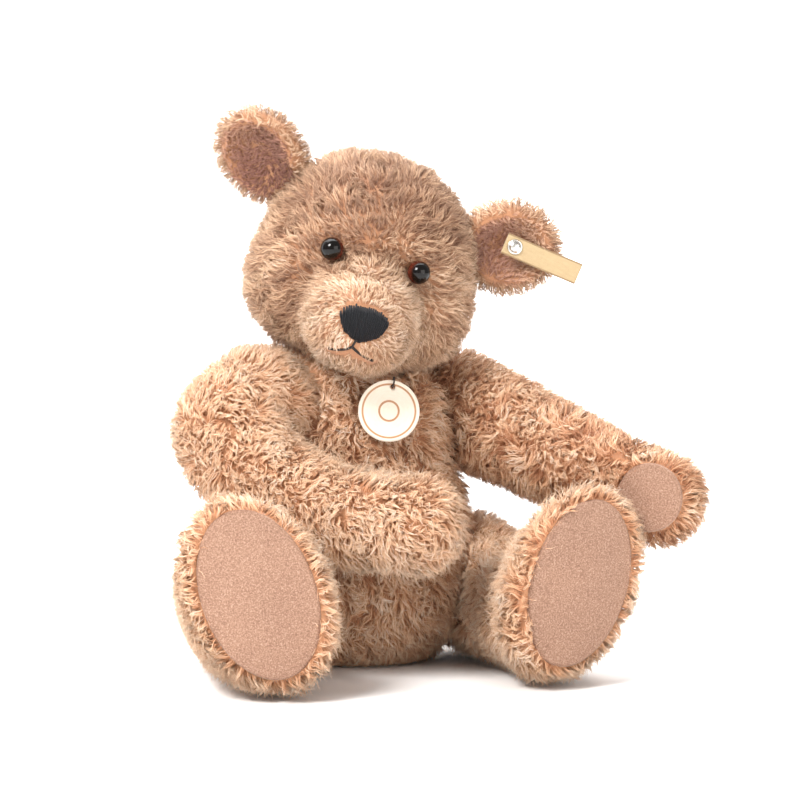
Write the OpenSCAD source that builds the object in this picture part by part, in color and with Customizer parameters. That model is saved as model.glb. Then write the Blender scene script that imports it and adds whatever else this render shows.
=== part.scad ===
// Jointed mohair teddy bear, sitting, at real size in mm.
// The seat is on z = 0, +Z is up, the chest faces -Y and the bear's own left is +X.
// Every limb and the head turn on a fibreboard disc joint closed by a bolt and a lock nut.

/* [Covers] */
// thickness of the plush cover: woven backing and the dense half of the pile
cover_wall = 4.5; // [4:0.25:5]
// thickness of the cover where a joint disc presses it flat
disc_wall = 2.5; // [2:0.25:3]

/* [Torso] */
// half width of the belly
belly_half_width = 57; // [56:0.5:58]
// half depth of the belly
belly_half_depth = 51; // [50:0.5:52]

/* [Head] */
// half width of the skull
head_half_width = 49.5; // [48:0.5:51]
// how far the muzzle stands forward of the skull's centre
muzzle_reach = 34; // [32:0.5:35]
// diameter of each eye
eye_d = 10.5; // [9:0.5:11]
// width of the stitched nose
nose_w = 23; // [21:0.5:24]
// height of each ear above its root
ear_h = 25; // [23:0.5:26]

/* [Limbs] */
// distance from a hip joint to the sole
leg_length = 127; // [124:1:129]
// height of the oval foot
foot_height = 88; // [84:1:88]
// width of the oval foot
foot_width = 62; // [58:1:63]
// radius of the upper arm
arm_r = 26; // [25.5:0.25:26.5]

/* [Joints] */
// gap between the flat faces of two covers at a joint
joint_gap = 0.5; // [0.4:0.1:0.8]
// diameter of a shoulder disc
arm_disc_d = 26; // [23:1:26]
// diameter of a hip disc
leg_disc_d = 34; // [30:1:34]
// diameter of a neck disc
neck_disc_d = 32; // [29:1:32]
// thickness of each fibreboard disc
disc_t = 3; // [2.5:0.25:3]
// diameter of each joint bolt
bolt_d = 6; // [5:0.5:6]

/* [Tags] */
// diameter of the round card tag on the chest
tag_d = 28; // [26:0.5:29]
// width of the woven ribbon in the ear
ribbon_w = 10; // [8:0.5:11]

/* [Hidden] */

g = joint_gap / 2;
w = cover_wall;
plush = "#d9a97f"; pad = "#c19a80"; board = "#a98a5c"; steel = "#b8bcc0"; black = "#1e2028"; fill = "#f0ece4";

// ---- vectors ----
function unit(v) = v / norm(v);
function lerp(a, b, t) = a + (b - a) * t;
function along(p, d, k) = p + d * k;
// Catmull-Rom between rows b and c
function cr(a, b, c, d, t) = 0.5 * (2*b + (c - a)*t + (2*a - 5*b + 4*c - d)*t*t + (3*b - a - 3*c + d)*t*t*t);
function row(R, i) = R[max(0, min(len(R) - 1, i))];
function at(R, s) = let(i = min(floor(s), len(R) - 2), t = s - i) cr(row(R, i-1), R[i], R[i+1], row(R, i+2), t);
// pushes point p to at least k in front of each plane [point, normal, k]
function push(p, planes, i = 0) = i >= len(planes) ? p :
  let(q = planes[i], d = (p - q[0]) * q[1]) push(p + max(0, q[2] - d) * q[1], planes, i + 1);

// ---- joints: [centre on the joint plane, normal out of the torso] ----
head_turn = -20; head_tilt = 14.25; // the neck joint leans to the bear's left
neck_u = [sin(head_tilt)*cos(head_turn), sin(head_tilt)*sin(head_turn), cos(head_tilt)];
neck_p = [-11, -4, 142];
r_sh = [[-41.8, -15, 117], unit([-0.886, -0.413, 0.208])];
l_sh = [[35.9, -3.5, 114.3], unit([0.978, -0.03, 0.208])];
function hip_axis(heading, drop) = [cos(drop)*cos(heading), cos(drop)*sin(heading), -sin(drop)];
r_hip = [[-43.6, 3, 38.5], hip_axis(180 - 5, 6)];
l_hip = [[43.6, 2, 38.5], hip_axis(-3, 6)];

// ---- bodies that are star-shaped about a centre ----
// E: ellipsoids [centre, half axes]; r along direction u from c
function ray(u, c, e, o) = let(q = c - e[0], h = [e[1].x - o, e[1].y - o, e[1].z - o],
  A = pow(u.x/h.x, 2) + pow(u.y/h.y, 2) + pow(u.z/h.z, 2),
  B = u.x*q.x/h.x/h.x + u.y*q.y/h.y/h.y + u.z*q.z/h.z/h.z,
  C = pow(q.x/h.x, 2) + pow(q.y/h.y, 2) + pow(q.z/h.z, 2) - 1,
  D = B*B - A*C) D <= 0 ? 0 : max(0, (-B + sqrt(D)) / A);
function soft_max(v, p = 18) = let(m = max(v)) m * pow(add([for (x = v) pow(x / m, p)]), 1/p);
function add(v, i = 0) = i >= len(v) ? 0 : v[i] + add(v, i + 1);
function star_r(u, c, E, o, planes) = min([soft_max([for (e = E) ray(u, c, e, o)]),
  for (q = planes) let(k = u * q[1]) k > 0.001 ? ((q[0] - c) * q[1] - q[2]) / k : 1000]);
function star_pts(c, E, o, planes, nt, nr) = concat(
  [c + [0, 0, -1] * star_r([0, 0, -1], c, E, o, planes)],
  [for (j = [1:nr-1], i = [0:nt-1]) let(f = -90 + 180*j/nr, a = 360*i/nt, u = [cos(f)*cos(a), cos(f)*sin(a), sin(f)]) c + u * star_r(u, c, E, o, planes)],
  [c + [0, 0, 1] * star_r([0, 0, 1], c, E, o, planes)]);
// faces of nr rings of nt points between two poles
function skin(nt, rings) = concat(
  [for (i = [0:nt-1]) [0, 1 + i, 1 + (i+1)%nt]],
  [for (j = [0:rings-2], i = [0:nt-1], k = [0, 1]) let(a = 1 + j*nt + i, b = 1 + j*nt + (i+1)%nt) k ? [a, b + nt, b] : [a, a + nt, b + nt]],
  [for (i = [0:nt-1]) let(e = rings*nt + 1) [e, 1 + (rings-1)*nt + (i+1)%nt, 1 + (rings-1)*nt + i]]);
module star(c, E, o, planes, nt = 32, nr = 24) { polyhedron(star_pts(c, E, o, planes, nt, nr), skin(nt, nr - 1), convexity = 6); }

// ---- torso ----
t_c = [-3, -1, 72];
t_E = [[[0, -2, 46], [belly_half_width, belly_half_depth, 54]], [[-3.5, -2, 107.5], [51, 43, 44]], [[-11.5, -4, 132], [33, 33, 28]], [[-3, 11, 92], [40, 37, 46]], [[-2, -2, 77], [51.5, 46, 46]]];
function t_planes(k) = [[[0, 0, 0], [0, 0, -1], k == 0 ? 0 : w], [neck_p, neck_u, g + k], [r_sh[0], r_sh[1], g + k], [l_sh[0], l_sh[1], g + k], [r_hip[0], r_hip[1], g + k], [l_hip[0], l_hip[1], g + k]];
module torso_form(o, k, nt = 32, nr = 24) { star(t_c, t_E, o, t_planes(k), nt, nr); }

// ---- head, in its own frame: x to the bear's left, y to the back, z up the neck's axis ----
h_c = [2, -9, 48];
h_E = [[[0, 1, 2], [head_half_width, 47, 47]], [[24, -2, -15], [28.5, 36, 30]], [[-24, -2, -15], [28.5, 36, 30]], [[1, -muzzle_reach - 1, -28.5], [26, 32, 24]], [[0, -20, -22], [36, 33, 30]], [[-1, 8, -24], [36, 36, 36]]];
module head_frame() translate(neck_p) rotate(head_turn) rotate([0, head_tilt, 0]) rotate(4) children();
module in_head() head_frame() translate(h_c) children();
module head_form(o, k, nt = 36, nr = 26) star([0, 0, 0], h_E, o, [[[0, 0, -h_c.z], [0, 0, -1], g + k]], nt, nr);
function head_at(l, u, o = 0) = // point of the face at angle l to the left and u up
  let(d = [cos(u)*sin(l), -cos(u)*cos(l), sin(u)]) d * (star_r(d, [0, 0, 0], h_E, 0, []) + o);
// turns +z towards the direction d
module aim(d) rotate([0, acos(d.z / norm(d)), atan2(d.y, d.x)]) children();
module on_face(l, u, o = 0) translate(head_at(l, u, o)) aim(head_at(l, u)) children();
eye_l = [27.5, -24]; eye_u = [0.5, 1.5];

// ---- limbs: a loft through rows [centre, half width along the joint axis, other half width, roll] ----
function sections(R, T, n, o, c0, c1, per) = let(m = len(R) - 1, N = round(m * per)) concat(
  [for (k = [1:4]) let(f = 90 * k / 5) sect(R, T, n, 0, o, -(c0 - o) * cos(f), sin(f))],
  [for (k = [0:N]) sect(R, T, n, m * k / N, o, 0, 1)],
  c1 > 0 ? [for (k = [4:-1:1]) let(f = 90 * k / 5) sect(R, T, n, m, o, (c1 - o) * cos(f), sin(f))] : []);
function sect(R, T, n, s, o, shift, k) = let(v = at(R, s), t = unit(at(T, s)), e = unit(n - (n*t)*t), h = cross(t, e), a = v[5],
  e1 = e*cos(a) + h*sin(a), e2 = h*cos(a) - e*sin(a)) [[v[0], v[1], v[2]] + t*shift, e1, e2, (v[3] - o)*k, (v[4] - o)*k];
function tangents(R) = [for (i = [0:len(R)-1]) let(a = row(R, i-1), b = row(R, i+1)) unit([b[0]-a[0], b[1]-a[1], b[2]-a[2]])];
// plane [point, normal, distance, first, last]: it shapes only the sections between these shares of the list
function near(planes, x) = [for (q = planes) if (len(q) < 4 || (x >= q[3] && x <= q[4])) q];
function limb_pts(S, planes, nt, p0, p1) = concat([push(p0, near(planes, 0))],
  [for (m = [0:len(S)-1], i = [0:nt-1]) let(s = S[m], a = 360*i/nt) push(s[0] + s[1]*s[3]*cos(a) + s[2]*s[4]*sin(a), near(planes, m/(len(S)-1)))], [push(p1, near(planes, 1))]);
module limb(R, T, n, o, c0, c1, planes, nt = 30, per = 3.4) {
  S = sections(R, T, n, o, c0, c1, per); m = len(R) - 1;
  p0 = sect(R, T, n, 0, o, -(c0 - o), 0)[0]; p1 = sect(R, T, n, m, o, c1 > 0 ? c1 - o : 0, 0)[0];
  polyhedron(limb_pts(S, planes, nt, p0, p1), skin(nt, len(S)), convexity = 6);
}
function arm_rows(P) = [for (p = P) [p[0], p[1], p[2], p[3], p[4], 0]];
ra_0 = r_sh[0] + 14.5*r_sh[1] + [0, 0, 1]; la_0 = l_sh[0] + 14*l_sh[1];
ra_R = [[ra_0.x, ra_0.y, ra_0.z, arm_r, arm_r, 0], [-73, -39, 110, 24.5, 24.5, 0], [-59, -59, 87.5, 22, 22, 0], [-34, -80, 75, 20.5, 20.5, 0], [-4, -95, 72, 19.5, 20, 0]];
la_R = [[la_0.x, la_0.y, la_0.z, arm_r - 2, arm_r, 0], [66, -40, 106, 23, 23, 0], [80, -69, 95.5, 21, 21, 0], [94, -89, 87, 19.5, 20, 0], [108, -105, 81, 19, 20, 0]];
ra_T = tangents(ra_R); la_T = tangents(la_R);
// palm planes [point, inward normal of the cut]: the pad lies on this flat
ra_t = ra_T[4]; la_t = la_T[4];
ra_palm = let(n = unit(cross(ra_t, [0, 0, 1]))) [[-5, -95, 72] - n*10.5, n];
la_palm = let(q = unit([-0.42, -0.90, -0.02]), n = -unit(q - (q*la_t)*la_t*0.8)) [[107, -104, 81.5] - n*10.5, n];
function leg_rows(hip, sole, d, lift) = let(n = hip[1], f = foot_height/2, h = foot_width/2, q = sole - hip[0]) [
  [for (v = [hip[0] + n*14 + [0, 0, -2]]) each [v.x, v.y, v.z, 26, 31, 0]],
  for (r = [[0.26, 20, 31.5, 25.5, 27.5, 0], [0.5, 25, 30.5, 25, 26, 4], [0.70, 28, 32, 25.5, 27.5, 10], [0.84, 0, 40, 28.5, f - 7, 16], [0.93, 0, 45.5, h - 0.5, f - 1, 20], [1, 0, 47, h - 1.5, f - 1.5, 20]])
    let(x = r[0], c = x < 0.8 ? lerp(hip[0] + n*14, sole, x) : lerp(hip[0] + n*14, sole, x)) [c.x, c.y, r[2], r[3], r[4], d*r[5]]];
function head_vec(a) = [sin(a), -cos(a), 0];
r_sole = r_hip[0] + leg_length * unit([-40.5, -119, 0]) + [0, 0, 8];
l_sole = l_hip[0] + leg_length * unit([16, -127, 0]) + [0, 0, 8];
r_heads = [-10, -14, -17, -19, -20, -20, -20]; l_heads = [4, 5, 6, 7, 8, 8, 8];
rl_R = leg_rows(r_hip, r_sole, 1, 0); ll_R = leg_rows(l_hip, l_sole, -1, 0);
rl_T = [for (a = r_heads) head_vec(a)]; ll_T = [for (a = l_heads) head_vec(a)];
sole_roll = 20;

floor_p = [[0, 0, 0], [0, 0, 1], 0];
function away(j, k) = [j[0], j[1], g + k, 0, 0.5];
module arm_form(R, T, j, palm, o, k, pk, nt = 30, per = 5) limb(R, T, j[1], o, arm_r - 1, 19, [away(j, k), [palm[0], palm[1], pk, 0.6, 1]], nt, per);
module leg_form(R, T, j, o, k, end, nt = 30, per = 3) {
  S = sections(R, T, j[1], o, 28, 0, per); m = len(R) - 1; t = T[m];
  last = sect(R, T, j[1], m, o, end, 1);
  pl = [away(j, k), [[0, 0, 0], [0, 0, 1], o]];
  rim = end > 0 ? [for (f = end > 2.5 ? [1] : [30, 60, 90]) sect(R, T, j[1], m, o, f == 1 ? end : end*sin(f), f == 1 ? 1 : 1 - 0.09*(1 - cos(f)))] : [];
  S2 = concat(S, rim);
  polyhedron(limb_pts(S2, pl, nt, sect(R, T, j[1], 0, o, -(28 - o), 0)[0], sect(R, T, j[1], m, o, end, 0)[0]), skin(nt, len(S2)), convexity = 6);
}
sole_rim = 2.2;

// ---- joint hardware, along +z out of the torso, z = 0 on the joint plane ----
clear = 0.05; // running clearance of the bolt in the body disc, and of the washer on it
module on(j) translate(j[0]) aim(j[1]) children();
in0 = g + disc_wall;            // inner face of a cover wall at a joint
washer_t = 1.2; nut_t = 5; head_t = 3.6;
module disc(d, fitting) difference() { cylinder(h = disc_t, d = d, $fn = 72); translate([0, 0, -1]) cylinder(h = disc_t + 2, d = bolt_d + (fitting ? 2*clear : 0), $fn = 48); }
module moving_disc(d) translate([0, 0, in0]) disc(d, false);
module body_disc(d) translate([0, 0, -in0 - disc_t]) disc(d, true);
z_low = -in0 - disc_t - clear - washer_t - nut_t - 1.5;
z_top = in0 + disc_t + washer_t;
module bolt() { translate([0, 0, z_low]) cylinder(h = z_top - z_low, d = bolt_d, $fn = 48); translate([0, 0, z_top]) cylinder(h = head_t - 1, d = 13, $fn = 48); translate([0, 0, z_top + head_t - 1]) cylinder(h = 1, d1 = 13, d2 = 10, $fn = 48); }
module washer() difference() { cylinder(h = washer_t, d = 18, $fn = 60); translate([0, 0, -1]) cylinder(h = washer_t + 2, d = bolt_d, $fn = 48); }
module washers() { translate([0, 0, in0 + disc_t]) washer(); translate([0, 0, -in0 - disc_t - clear - washer_t]) washer(); }
module lock_nut() translate([0, 0, -in0 - disc_t - clear - washer_t - nut_t]) difference() { union() { cylinder(h = nut_t - 1.5, d = 11.5, $fn = 6); cylinder(h = nut_t, d = 9.4, $fn = 48); } translate([0, 0, -1]) cylinder(h = nut_t + 2, d = bolt_d, $fn = 48); }
// room for the hardware: up = +1 on the limb's side, -1 on the torso's
module pocket(d, up) { scale([1, 1, up]) { cylinder(h = in0 + disc_t + 0.4, d = d + 1.5, $fn = 48); cylinder(h = in0 + disc_t + washer_t + 8.5, d = 21, $fn = 48); } }
module disc_seat(d) translate([0, 0, -in0 - disc_t - 0.3]) cylinder(h = disc_t + 0.35, d = d + 0.3, $fn = 72);
module bolt_hole(r) translate([0, 0, -12]) cylinder(h = 24, r = bolt_d/2 + r, $fn = 48);

module torso_cover() color(plush) difference() {
  torso_form(0, 0);
  torso_form(w, disc_wall, 32, 24);
  on([neck_p, neck_u]) bolt_hole(0.6);
  for (j = [r_sh, l_sh, r_hip, l_hip]) on(j) bolt_hole(0.6);
  on([neck_p, neck_u]) disc_seat(neck_disc_d);
  for (j = [r_sh, l_sh]) on(j) disc_seat(arm_disc_d);
  for (j = [r_hip, l_hip]) on(j) disc_seat(leg_disc_d);
}
module torso_stuffing() color(fill) difference() {
  torso_form(w + 2.6, disc_wall + 3.1, 22, 16);
  on([neck_p, neck_u]) pocket(neck_disc_d, -1);
  for (j = [r_sh, l_sh]) on(j) pocket(arm_disc_d, -1);
  for (j = [r_hip, l_hip]) on(j) pocket(leg_disc_d, -1);
}
// ladder stitches down the middle of the back
function back_at(z) = let(u = unit([0.02, 1, (z - t_c.z)/52])) t_c + u * (star_r(u, t_c, t_E, 0, []) + 0.45);
module back_closing_seam() color("#8a5e50") for (i = [0:10]) translate(back_at(46 + 5.5*i) + [0, 0.45, 0]) rotate([0, 90, 12]) cylinder(h = 5, d = 0.9, center = true, $fn = 16);

module head_cover() color(plush) in_head() difference() {
  head_form(0, 0);
  head_form(w, disc_wall, 28, 20);
  translate(-h_c) bolt_hole(0);
  for (i = [0, 1]) on_face(eye_l[i], eye_u[i], 0) eye_room(0.1);
  on_face(nose_l, nose_u, -10) rotate(90) { oval(nose_w/2 + 0.05, nose_w*0.33 + 0.05, 18); translate([1, nose_w*-0.30, 0]) oval(nose_w*0.24 + 0.05, nose_w*0.20 + 0.05, 18); }
}
module head_stuffing() color(fill) in_head() difference() {
  head_form(w + 2.2, disc_wall + 3.1, 24, 16);
  translate(-h_c) pocket(neck_disc_d, 1);
  for (i = [0, 1]) on_face(eye_l[i], eye_u[i], 0) translate([0, 0, -20]) cylinder(h = 22, d = 17, $fn = 40);
  nose_form(1);
}
module eye_room(e = 0) { sphere(d = eye_d + 2*e, $fn = 48); translate([0, 0, -12]) cylinder(h = 12, d = 3 + 2*e, $fn = 32); }
module eye() color("#3a2018") eye_room();
module eye_washer() color(steel) translate([0, 0, -10.5]) difference() { cylinder(h = 1.2, d = 14, $fn = 48); translate([0, 0, -1]) cylinder(h = 4, d = 3, $fn = 32); }
module right_eye() in_head() on_face(eye_l[1], eye_u[1]) eye();
module left_eye() in_head() on_face(eye_l[0], eye_u[0]) eye();
module eye_lock_washers() in_head() for (i = [0, 1]) on_face(eye_l[i], eye_u[i]) eye_washer();
nose_l = 1; nose_u = -22.3;
module nose_form(grow = 0) on_face(nose_l, nose_u, -1.5) rotate(90) {
  scale([nose_w/2 + grow, nose_w*0.33 + grow, 5.2 + grow]) sphere(1, $fn = 48);
  translate([1, nose_w*-0.30, -0.5]) scale([nose_w*0.24 + grow, nose_w*0.20 + grow, 4.2 + grow]) sphere(1, $fn = 40);
}
module nose_stitching() color(black) in_head() nose_form();
// threads laid on the muzzle from angle pair a to b
module thread_line(a, b, n, r) for (i = [0:n-1]) { p = head_at(lerp(a[0], b[0], i/n), lerp(a[1], b[1], i/n), r + 0.15); q = head_at(lerp(a[0], b[0], (i+1)/n), lerp(a[1], b[1], (i+1)/n), r + 0.15);
  translate(p) aim(q - p) translate([0, 0, 0.7]) cylinder(h = norm(q - p) - 0.9, r = r, $fn = 20); }
mouth_m = [-0.8, -30.3];
module mouth_stitching() color(black) in_head() { thread_line([0, -27.3], mouth_m, 1, 0.55); thread_line(mouth_m, [-10, -34.6], 2, 0.55); thread_line(mouth_m, [9.5, -34.6], 2, 0.55); }

// ears: cupped half discs standing on the skull
module ear_form(s, turn, lean, root, tilt) translate(root) rotate([0, s*tilt, 0]) rotate([lean, 0, s*turn]) difference() {
  translate([0, 0, 9]) scale([22.5, 10.5, ear_h]) sphere(1, $fn = 56);
  translate([0, -10.5, 10]) scale([17.5, 9.5, ear_h - 5.5]) sphere(1, $fn = 48);
}
module skull_room() for (i = [0, 1]) translate(h_E[i][0]) scale(h_E[i][1] + [1, 1, 1]*(0.5 + 1.9*i)) sphere(1, $fn = 72);
module right_ear() color(plush) in_head() difference() { ear_form(-1, 34, 4, [-51, 2, 29], 50); skull_room(); }
module left_ear() color(plush) in_head() difference() { ear_form(1, 10, 4, [53, 0, 19], 75); skull_room(); on_button() translate([0, 0, -6]) cylinder(h = 12, d = 2.2, $fn = 32); on_button() ribbon_room(); }
btn = [64, -9.6, 22]; btn_d = unit([0.05, -1, 0.05]);
module on_button() translate(btn) aim(btn_d) rotate(81) children();
module ear_button() color(steel) in_head() on_button() rotate_extrude($fn = 72) polygon([[0, -5], [1.1, -5], [1.1, 0.9], [3.5, 0.9], [3.5, 1.7], [2.3, 2.4], [0, 2.4]]);
module ribbon_room() translate([-5.5, -ribbon_w/2 - 0.3, -0.1]) cube([40, ribbon_w + 0.6, 4]);
module ear_ribbon_tag() color("#e2d3b8") in_head() on_button() translate([0, 0, 0.1]) difference() { translate([-5, -ribbon_w/2, 0]) cube([37, ribbon_w, 0.8]); translate([0, 0, -1]) cylinder(h = 3, d = 2.2, $fn = 32); }

module arm_cover(R, T, j, palm) color(plush) difference() { arm_form(R, T, j, palm, 0, 0, 0); arm_form(R, T, j, palm, w, disc_wall, 2.5, 24, 4); on(j) bolt_hole(0); }
module arm_stuffing(R, T, j, palm) color(fill) difference() { arm_form(R, T, j, palm, w + 1.6, disc_wall + 1.5, 4, 20, 3); on(j) pocket(arm_disc_d, 1); }
module paw_pad(palm, t) color(pad) translate(palm[0]) aim(-palm[1]) rotate(0) { cylinder(h = 1.4, d = 29, $fn = 64); translate([0, 0, 1.4]) cylinder(h = 0.8, d1 = 29, d2 = 26.5, $fn = 64); }
module right_arm_cover() arm_cover(ra_R, ra_T, r_sh, ra_palm);
module right_arm_stuffing() arm_stuffing(ra_R, ra_T, r_sh, ra_palm);
module right_paw_pad() paw_pad(ra_palm, ra_t);
module left_arm_cover() arm_cover(la_R, la_T, l_sh, la_palm);
module left_arm_stuffing() arm_stuffing(la_R, la_T, l_sh, la_palm);
module left_paw_pad() paw_pad(la_palm, la_t);

module leg_cover(R, T, j) color(plush) difference() { leg_form(R, T, j, 0, 0, sole_rim); leg_form(R, T, j, w, disc_wall, sole_rim + 1, 24, 2.4); on(j) bolt_hole(0); }
module leg_stuffing(R, T, j) color(fill) difference() { leg_form(R, T, j, w + 1.6, disc_wall + 1.5, 0, 20, 2); on(j) pocket(leg_disc_d, 1); }
module oval(a, b, h) linear_extrude(h) polygon([for (i = [0:71]) [a*cos(5*i), b*sin(5*i)]]);
// the sole's frame: z out of the sole, y up its long axis
module on_sole(R, T, out, s) { m = len(R) - 1; v = R[m]; t = T[m]; translate([v[0], v[1], v[2]] + t*out) rotate([0, 0, atan2(t.x, -t.y)]) rotate([90, 0, 0]) rotate(s*sole_roll) children(); }
module sole_pad(R, T, s) color(pad) on_sole(R, T, sole_rim, s) { oval(foot_width/2 - 5, foot_height/2 - 5, 1.3); translate([0, 0, 1.3]) oval(foot_width/2 - 6, foot_height/2 - 6, 0.7); }
module insole(R, T, s) color(board) on_sole(R, T, sole_rim - 1.7, s) oval(foot_width/2 - 8, foot_height/2 - 8.5, 1.6);
module right_leg_cover() leg_cover(rl_R, rl_T, r_hip);
module right_leg_stuffing() leg_stuffing(rl_R, rl_T, r_hip);
module right_sole_pad() sole_pad(rl_R, rl_T, 1);
module right_insole() insole(rl_R, rl_T, 1);
module left_leg_cover() leg_cover(ll_R, ll_T, l_hip);
module left_leg_stuffing() leg_stuffing(ll_R, ll_T, l_hip);
module left_sole_pad() sole_pad(ll_R, ll_T, -1);
module left_insole() insole(ll_R, ll_T, -1);

// chest tag: a thin card disc hanging from a thread ring sewn to the chest
tag_c = [-2, -51, 119.5]; tag_n = unit([-0.22, -1, 0.10]);
module on_tag() translate(tag_c) aim(tag_n) rotate(170) children();
module chest_tag() color("#f4e6d6") on_tag() difference() { cylinder(h = 0.9, d = tag_d, $fn = 96); translate([tag_d/2 - 3, 0, -1]) cylinder(h = 3, d = 2.4, $fn = 32); }
module chest_tag_thread() color(black) on_tag() translate([tag_d/2 - 3 + 2.2, 0, 0.45]) { rotate([90, 0, 0]) rotate_extrude($fn = 40) translate([2.3, 0]) circle(0.4, $fn = 16); translate([0, 0, -9.3]) cylinder(h = 7.2, r = 0.4, $fn = 16); }

module neck_j() { on([neck_p, neck_u]) children(); }
// hardware of each joint
module neck_head_disc() color(board) neck_j() moving_disc(neck_disc_d);
module neck_body_disc() color(board) neck_j() body_disc(neck_disc_d);
module neck_bolt() color(steel) neck_j() bolt();
module neck_washers() color(steel) neck_j() washers();
module neck_lock_nut() color(steel) neck_j() lock_nut();
module right_arm_disc() color(board) on(r_sh) moving_disc(arm_disc_d);
module right_shoulder_body_disc() color(board) on(r_sh) body_disc(arm_disc_d);
module right_shoulder_bolt() color(steel) on(r_sh) bolt();
module right_shoulder_washers() color(steel) on(r_sh) washers();
module right_shoulder_lock_nut() color(steel) on(r_sh) lock_nut();
module left_arm_disc() color(board) on(l_sh) moving_disc(arm_disc_d);
module left_shoulder_body_disc() color(board) on(l_sh) body_disc(arm_disc_d);
module left_shoulder_bolt() color(steel) on(l_sh) bolt();
module left_shoulder_washers() color(steel) on(l_sh) washers();
module left_shoulder_lock_nut() color(steel) on(l_sh) lock_nut();
module right_leg_disc() color(board) on(r_hip) moving_disc(leg_disc_d);
module right_hip_body_disc() color(board) on(r_hip) body_disc(leg_disc_d);
module right_hip_bolt() color(steel) on(r_hip) bolt();
module right_hip_washers() color(steel) on(r_hip) washers();
module right_hip_lock_nut() color(steel) on(r_hip) lock_nut();
module left_leg_disc() color(board) on(l_hip) moving_disc(leg_disc_d);
module left_hip_body_disc() color(board) on(l_hip) body_disc(leg_disc_d);
module left_hip_bolt() color(steel) on(l_hip) bolt();
module left_hip_washers() color(steel) on(l_hip) washers();
module left_hip_lock_nut() color(steel) on(l_hip) lock_nut();

torso_cover();
torso_stuffing();
back_closing_seam();
head_cover();
head_stuffing();
right_ear();
left_ear();
right_eye();
left_eye();
eye_lock_washers();
nose_stitching();
mouth_stitching();
right_arm_cover();
right_arm_stuffing();
right_paw_pad();
left_arm_cover();
left_arm_stuffing();
left_paw_pad();
right_leg_cover();
right_leg_stuffing();
right_sole_pad();
right_insole();
left_leg_cover();
left_leg_stuffing();
left_sole_pad();
left_insole();
neck_head_disc();
neck_body_disc();
neck_bolt();
neck_washers();
neck_lock_nut();
right_arm_disc();
right_shoulder_body_disc();
right_shoulder_bolt();
right_shoulder_washers();
right_shoulder_lock_nut();
left_arm_disc();
left_shoulder_body_disc();
left_shoulder_bolt();
left_shoulder_washers();
left_shoulder_lock_nut();
right_leg_disc();
right_hip_body_disc();
right_hip_bolt();
right_hip_washers();
right_hip_lock_nut();
left_leg_disc();
left_hip_body_disc();
left_hip_bolt();
left_hip_washers();
left_hip_lock_nut();
ear_button();
ear_ribbon_tag();
chest_tag();
chest_tag_thread();
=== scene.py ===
import math
import bpy
import bmesh
import numpy as np
from mathutils import Vector, Matrix
from mathutils.kdtree import KDTree


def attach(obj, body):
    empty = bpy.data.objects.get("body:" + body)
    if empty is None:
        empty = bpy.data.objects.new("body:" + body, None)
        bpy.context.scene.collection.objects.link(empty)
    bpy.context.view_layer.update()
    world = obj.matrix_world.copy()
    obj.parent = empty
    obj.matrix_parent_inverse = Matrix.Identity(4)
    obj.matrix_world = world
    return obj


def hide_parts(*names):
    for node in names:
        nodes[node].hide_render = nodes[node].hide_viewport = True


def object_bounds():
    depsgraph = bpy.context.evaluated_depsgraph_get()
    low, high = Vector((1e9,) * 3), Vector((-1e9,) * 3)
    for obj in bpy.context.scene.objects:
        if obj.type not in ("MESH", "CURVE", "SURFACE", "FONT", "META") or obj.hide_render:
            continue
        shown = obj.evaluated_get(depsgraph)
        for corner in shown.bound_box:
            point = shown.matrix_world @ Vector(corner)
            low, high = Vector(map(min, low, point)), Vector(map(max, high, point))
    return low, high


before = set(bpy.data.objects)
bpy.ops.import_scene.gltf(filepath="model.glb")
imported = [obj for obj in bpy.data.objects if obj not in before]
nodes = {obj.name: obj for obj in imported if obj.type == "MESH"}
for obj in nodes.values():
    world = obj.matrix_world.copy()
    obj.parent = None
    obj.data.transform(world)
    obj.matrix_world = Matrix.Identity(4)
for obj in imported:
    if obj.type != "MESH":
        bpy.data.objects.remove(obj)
cad_lo, cad_hi = [list(v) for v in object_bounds()]
rng = np.random.default_rng(11)
scene = bpy.context.scene


# ------------------------------------------------------------------ vectors
def unit(v):
    v = np.asarray(v, float)
    return v / np.linalg.norm(v)


def norm_rows(v):
    return v / np.maximum(np.linalg.norm(v, axis=1, keepdims=True), 1e-9)


def rot_z(a):
    a = math.radians(a)
    return np.array([[math.cos(a), -math.sin(a), 0], [math.sin(a), math.cos(a), 0], [0, 0, 1.0]])


def rot_y(a):
    a = math.radians(a)
    return np.array([[math.cos(a), 0, math.sin(a)], [0, 1, 0], [-math.sin(a), 0, math.cos(a)]])


def rot_x(a):
    a = math.radians(a)
    return np.array([[1, 0, 0], [0, math.cos(a), -math.sin(a)], [0, math.sin(a), math.cos(a)]])


def aim(d):
    d = unit(d)
    return rot_z(math.degrees(math.atan2(d[1], d[0]))) @ rot_y(math.degrees(math.acos(d[2])))


def smooth(x, a, b):
    t = np.clip((x - a) / (b - a), 0, 1)
    return t * t * (3 - 2 * t)


def wobble(P, scale, seed):
    """A smooth random vector field, from a few sine waves, P in mm."""
    r = np.random.default_rng(seed)
    out = np.zeros((len(P), 3))
    for i in range(7):
        k = r.normal(size=3) / scale * 1.6
        out += np.sin((P @ k)[:, None] + r.uniform(0, 6.28, 3)[None, :]) * r.normal(size=3)[None, :]
    return out / 2.2


# ------------------------------------------------------------------ the bear's sizes, in mm
G = 0.25
NECK_P = np.array([-11.0, -4.0, 142.0])
NECK_R = rot_z(-20) @ rot_y(14.25)
NECK_U = NECK_R[:, 2]
R_SH = (np.array([-41.8, -15, 117.0]), unit([-0.886, -0.413, 0.208]))
L_SH = (np.array([35.9, -3.5, 114.3]), unit([0.978, -0.03, 0.208]))


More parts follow.
